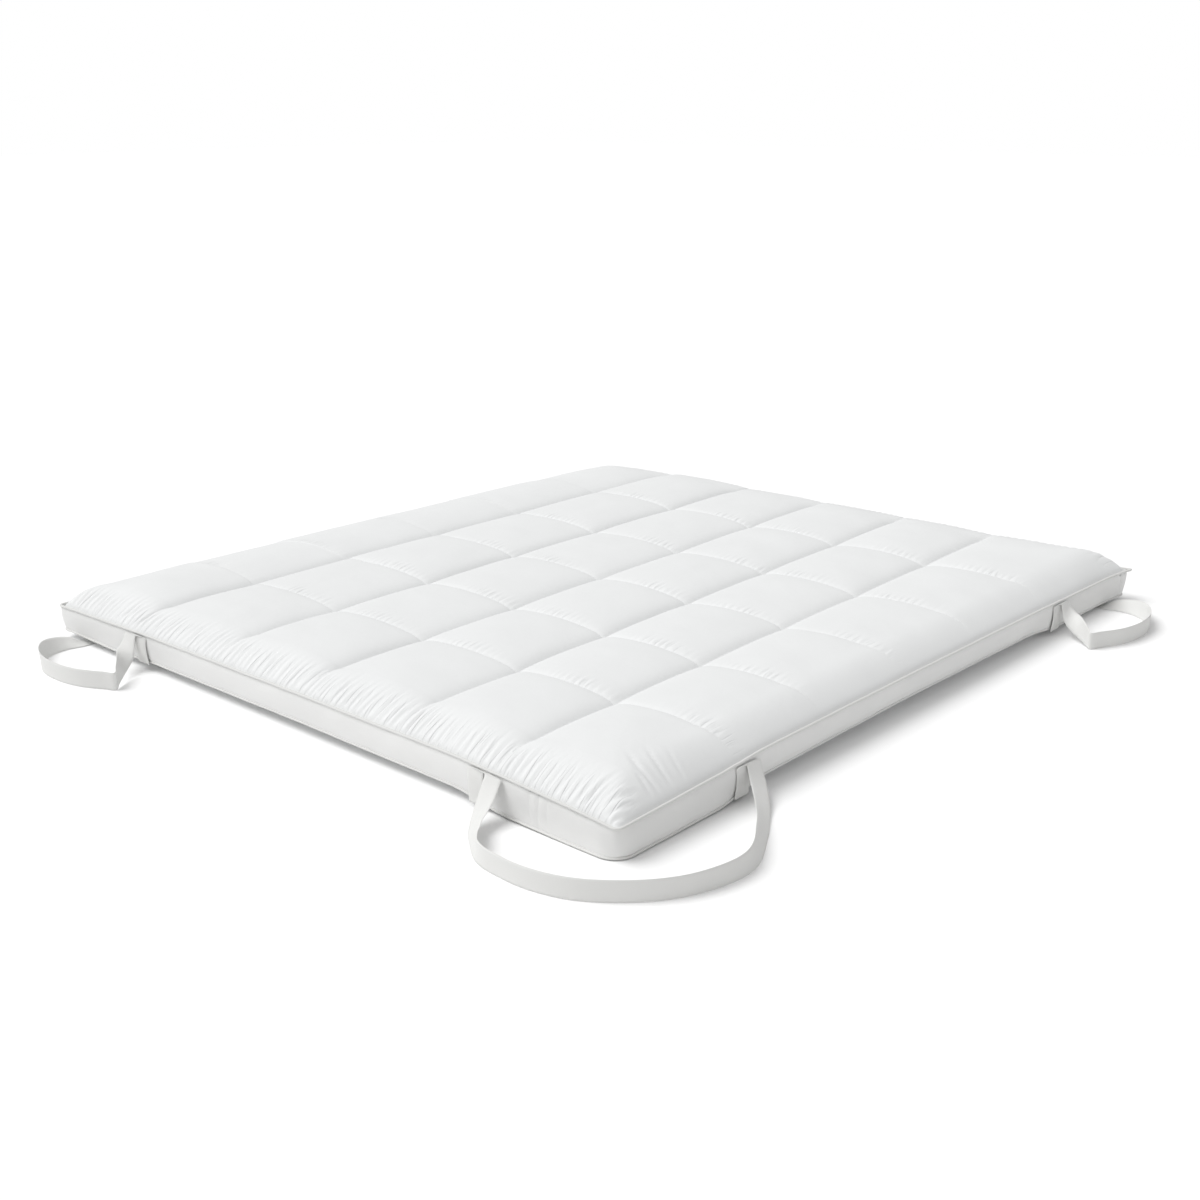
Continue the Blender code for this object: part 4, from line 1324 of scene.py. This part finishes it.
class TOPPER_OT_pad(bpy.types.Operator):
    """Make the quilted, filled pad"""

    bl_idname = "topper.pad"
    bl_label = "Quilted Pad"
    bl_options = {"REGISTER", "UNDO"}

    def execute(self, context):
        pad = make_pad(context.scene.topper_sizes)
        dress(pad, "top_cloth", "filled_pad")
        return {"FINISHED"}


class TOPPER_OT_band(bpy.types.Operator):
    """Make the side band round the pad"""

    bl_idname = "topper.band"
    bl_label = "Side Band"
    bl_options = {"REGISTER", "UNDO"}

    def execute(self, context):
        band = make_band(context.scene.topper_sizes)
        dress(band, "band_cloth", "side_band")
        return {"FINISHED"}


class TOPPER_OT_piping(bpy.types.Operator):
    """Make the piping cords of the top and the bottom seam"""

    bl_idname = "topper.piping"
    bl_label = "Piping"
    bl_options = {"REGISTER", "UNDO"}

    def execute(self, context):
        radius = context.scene.topper_sizes.piping_radius
        x, y = outline()
        for name, node, place in (("top_piping", "piping_top", seam_place),
                                  ("bottom_piping", "piping_bottom", hem_place)):
            cord = tube(name, cord_path(x, y, place), radius, material("bias_cut_percale_painted_shade"))
            dress(cord, "piping_cord", node)
        return {"FINISHED"}


class TOPPER_OT_straps(bpy.types.Operator):
    """Make the four elastic corner straps"""

    bl_idname = "topper.straps"
    bl_label = "Corner Straps"
    bl_options = {"REGISTER", "UNDO"}

    def execute(self, context):
        for strap in STRAPS:
            edges = resample(strap_edges(strap), STRAP_STEP)
            elastic = ribbon("elastic_" + strap.node, edges, STRAP_THICKNESS,
                             material("woven_elastic"))
            dress(elastic, "strap_elastic", strap.node)
        return {"FINISHED"}


class TOPPER_OT_stitching(bpy.types.Operator):
    """Make the stitches of the quilting seams"""

    bl_idname = "topper.stitching"
    bl_label = "Stitching"
    bl_options = {"REGISTER", "UNDO"}

    def execute(self, context):
        sizes = context.scene.topper_sizes
        thread = stitches("quilting_stitches", stitched_lines(sizes), sizes,
                          material("polyester_thread"))
        dress(thread, "top_cloth")
        return {"FINISHED"}


class TOPPER_OT_stage(bpy.types.Operator):
    """Make the studio floor, the lights and the camera"""

    bl_idname = "topper.stage"
    bl_label = "Studio Stage"
    bl_options = {"REGISTER", "UNDO"}

    def execute(self, context):
        scene = context.scene
        make_floor()
        key = bpy.data.objects.new("key_light", bpy.data.lights.new("key_light", "SUN"))
        key.data.energy = KEY_STRENGTH
        key.data.angle = math.radians(KEY_ANGLE)
        key.rotation_euler = Vector(KEY_FROM).to_track_quat("Z", "Y").to_euler()
        scene.collection.objects.link(key)
        scene.world = white_room()
        scene.view_settings.view_transform = "Standard"
        camera = bpy.data.objects.new("camera", bpy.data.cameras.new("camera"))
        camera.data.lens = CAMERA_LENS
        camera.data.sensor_width = CAMERA_SENSOR
        camera.location = CAMERA_PLACE
        camera.rotation_euler = [math.radians(angle) for angle in CAMERA_TURN]
        scene.collection.objects.link(camera)
        scene.camera = camera
        return {"FINISHED"}


def white_room():
    """A white room: even soft light on the topper, and plain white where the camera sees it."""
    world = bpy.data.worlds.new("studio")
    world.use_nodes = True
    tree = world.node_tree
    light = tree.nodes["Background"]
    light.inputs["Color"].default_value = (1.0, 1.0, 1.0, 1.0)
    light.inputs["Strength"].default_value = ROOM_STRENGTH
    white = add_node(tree, "ShaderNodeBackground", Color=(1.0, 1.0, 1.0, 1.0), Strength=1.0)
    path = add_node(tree, "ShaderNodeLightPath")
    seen = add_node(tree, "ShaderNodeMixShader", [(0, path.outputs["Is Camera Ray"]),
                                                  (1, light.outputs["Background"]),
                                                  (2, white.outputs["Background"])])
    tree.links.new(seen.outputs["Shader"], tree.nodes["World Output"].inputs["Surface"])
    return world


def make_floor():
    """A level studio floor under the topper, as one wide grid."""
    reach = np.linspace(-FLOOR_REACH, FLOOR_REACH, FLOOR_LINES)
    x, y = np.meshgrid(reach, reach)
    points = np.stack([x, y, 0 * x], axis=-1).reshape(-1, 3)
    floor = make_object("studio_floor", points, [grid_faces(FLOOR_LINES, FLOOR_LINES)],
                        points[:, :2], material("rolled_matt_paint"))


class TOPPER_PT_panel(bpy.types.Panel):
    """The topper's sizes, colours and making steps"""

    bl_idname = "TOPPER_PT_panel"
    bl_label = "Mattress Topper"
    bl_space_type = "VIEW_3D"
    bl_region_type = "UI"
    bl_category = "Topper"

    def draw(self, context):
        for group in (context.scene.topper_sizes, context.scene.topper_colours):
            box = self.layout.box()
            for name in group.__annotations__:
                box.prop(group, name)
        for operator in OPERATORS:
            self.layout.operator(operator.bl_idname)


OPERATORS = (TOPPER_OT_stage, TOPPER_OT_pad, TOPPER_OT_band, TOPPER_OT_piping, TOPPER_OT_straps,
             TOPPER_OT_stitching)
CLASSES = (TopperSizes, TopperColours) + OPERATORS + (TOPPER_PT_panel,)


def register():
    for entry in CLASSES:
        bpy.utils.register_class(entry)
    bpy.types.Scene.topper_sizes = PointerProperty(type=TopperSizes)
    bpy.types.Scene.topper_colours = PointerProperty(type=TopperColours)


def unregister():
    del bpy.types.Scene.topper_colours
    del bpy.types.Scene.topper_sizes
    for entry in reversed(CLASSES):
        bpy.utils.unregister_class(entry)


def main():
    register()
    bpy.ops.topper.stage()
    bpy.ops.topper.pad()
    bpy.ops.topper.band()
    bpy.ops.topper.piping()
    bpy.ops.topper.straps()
    bpy.ops.topper.stitching()


if __name__ == "__main__":
    main()
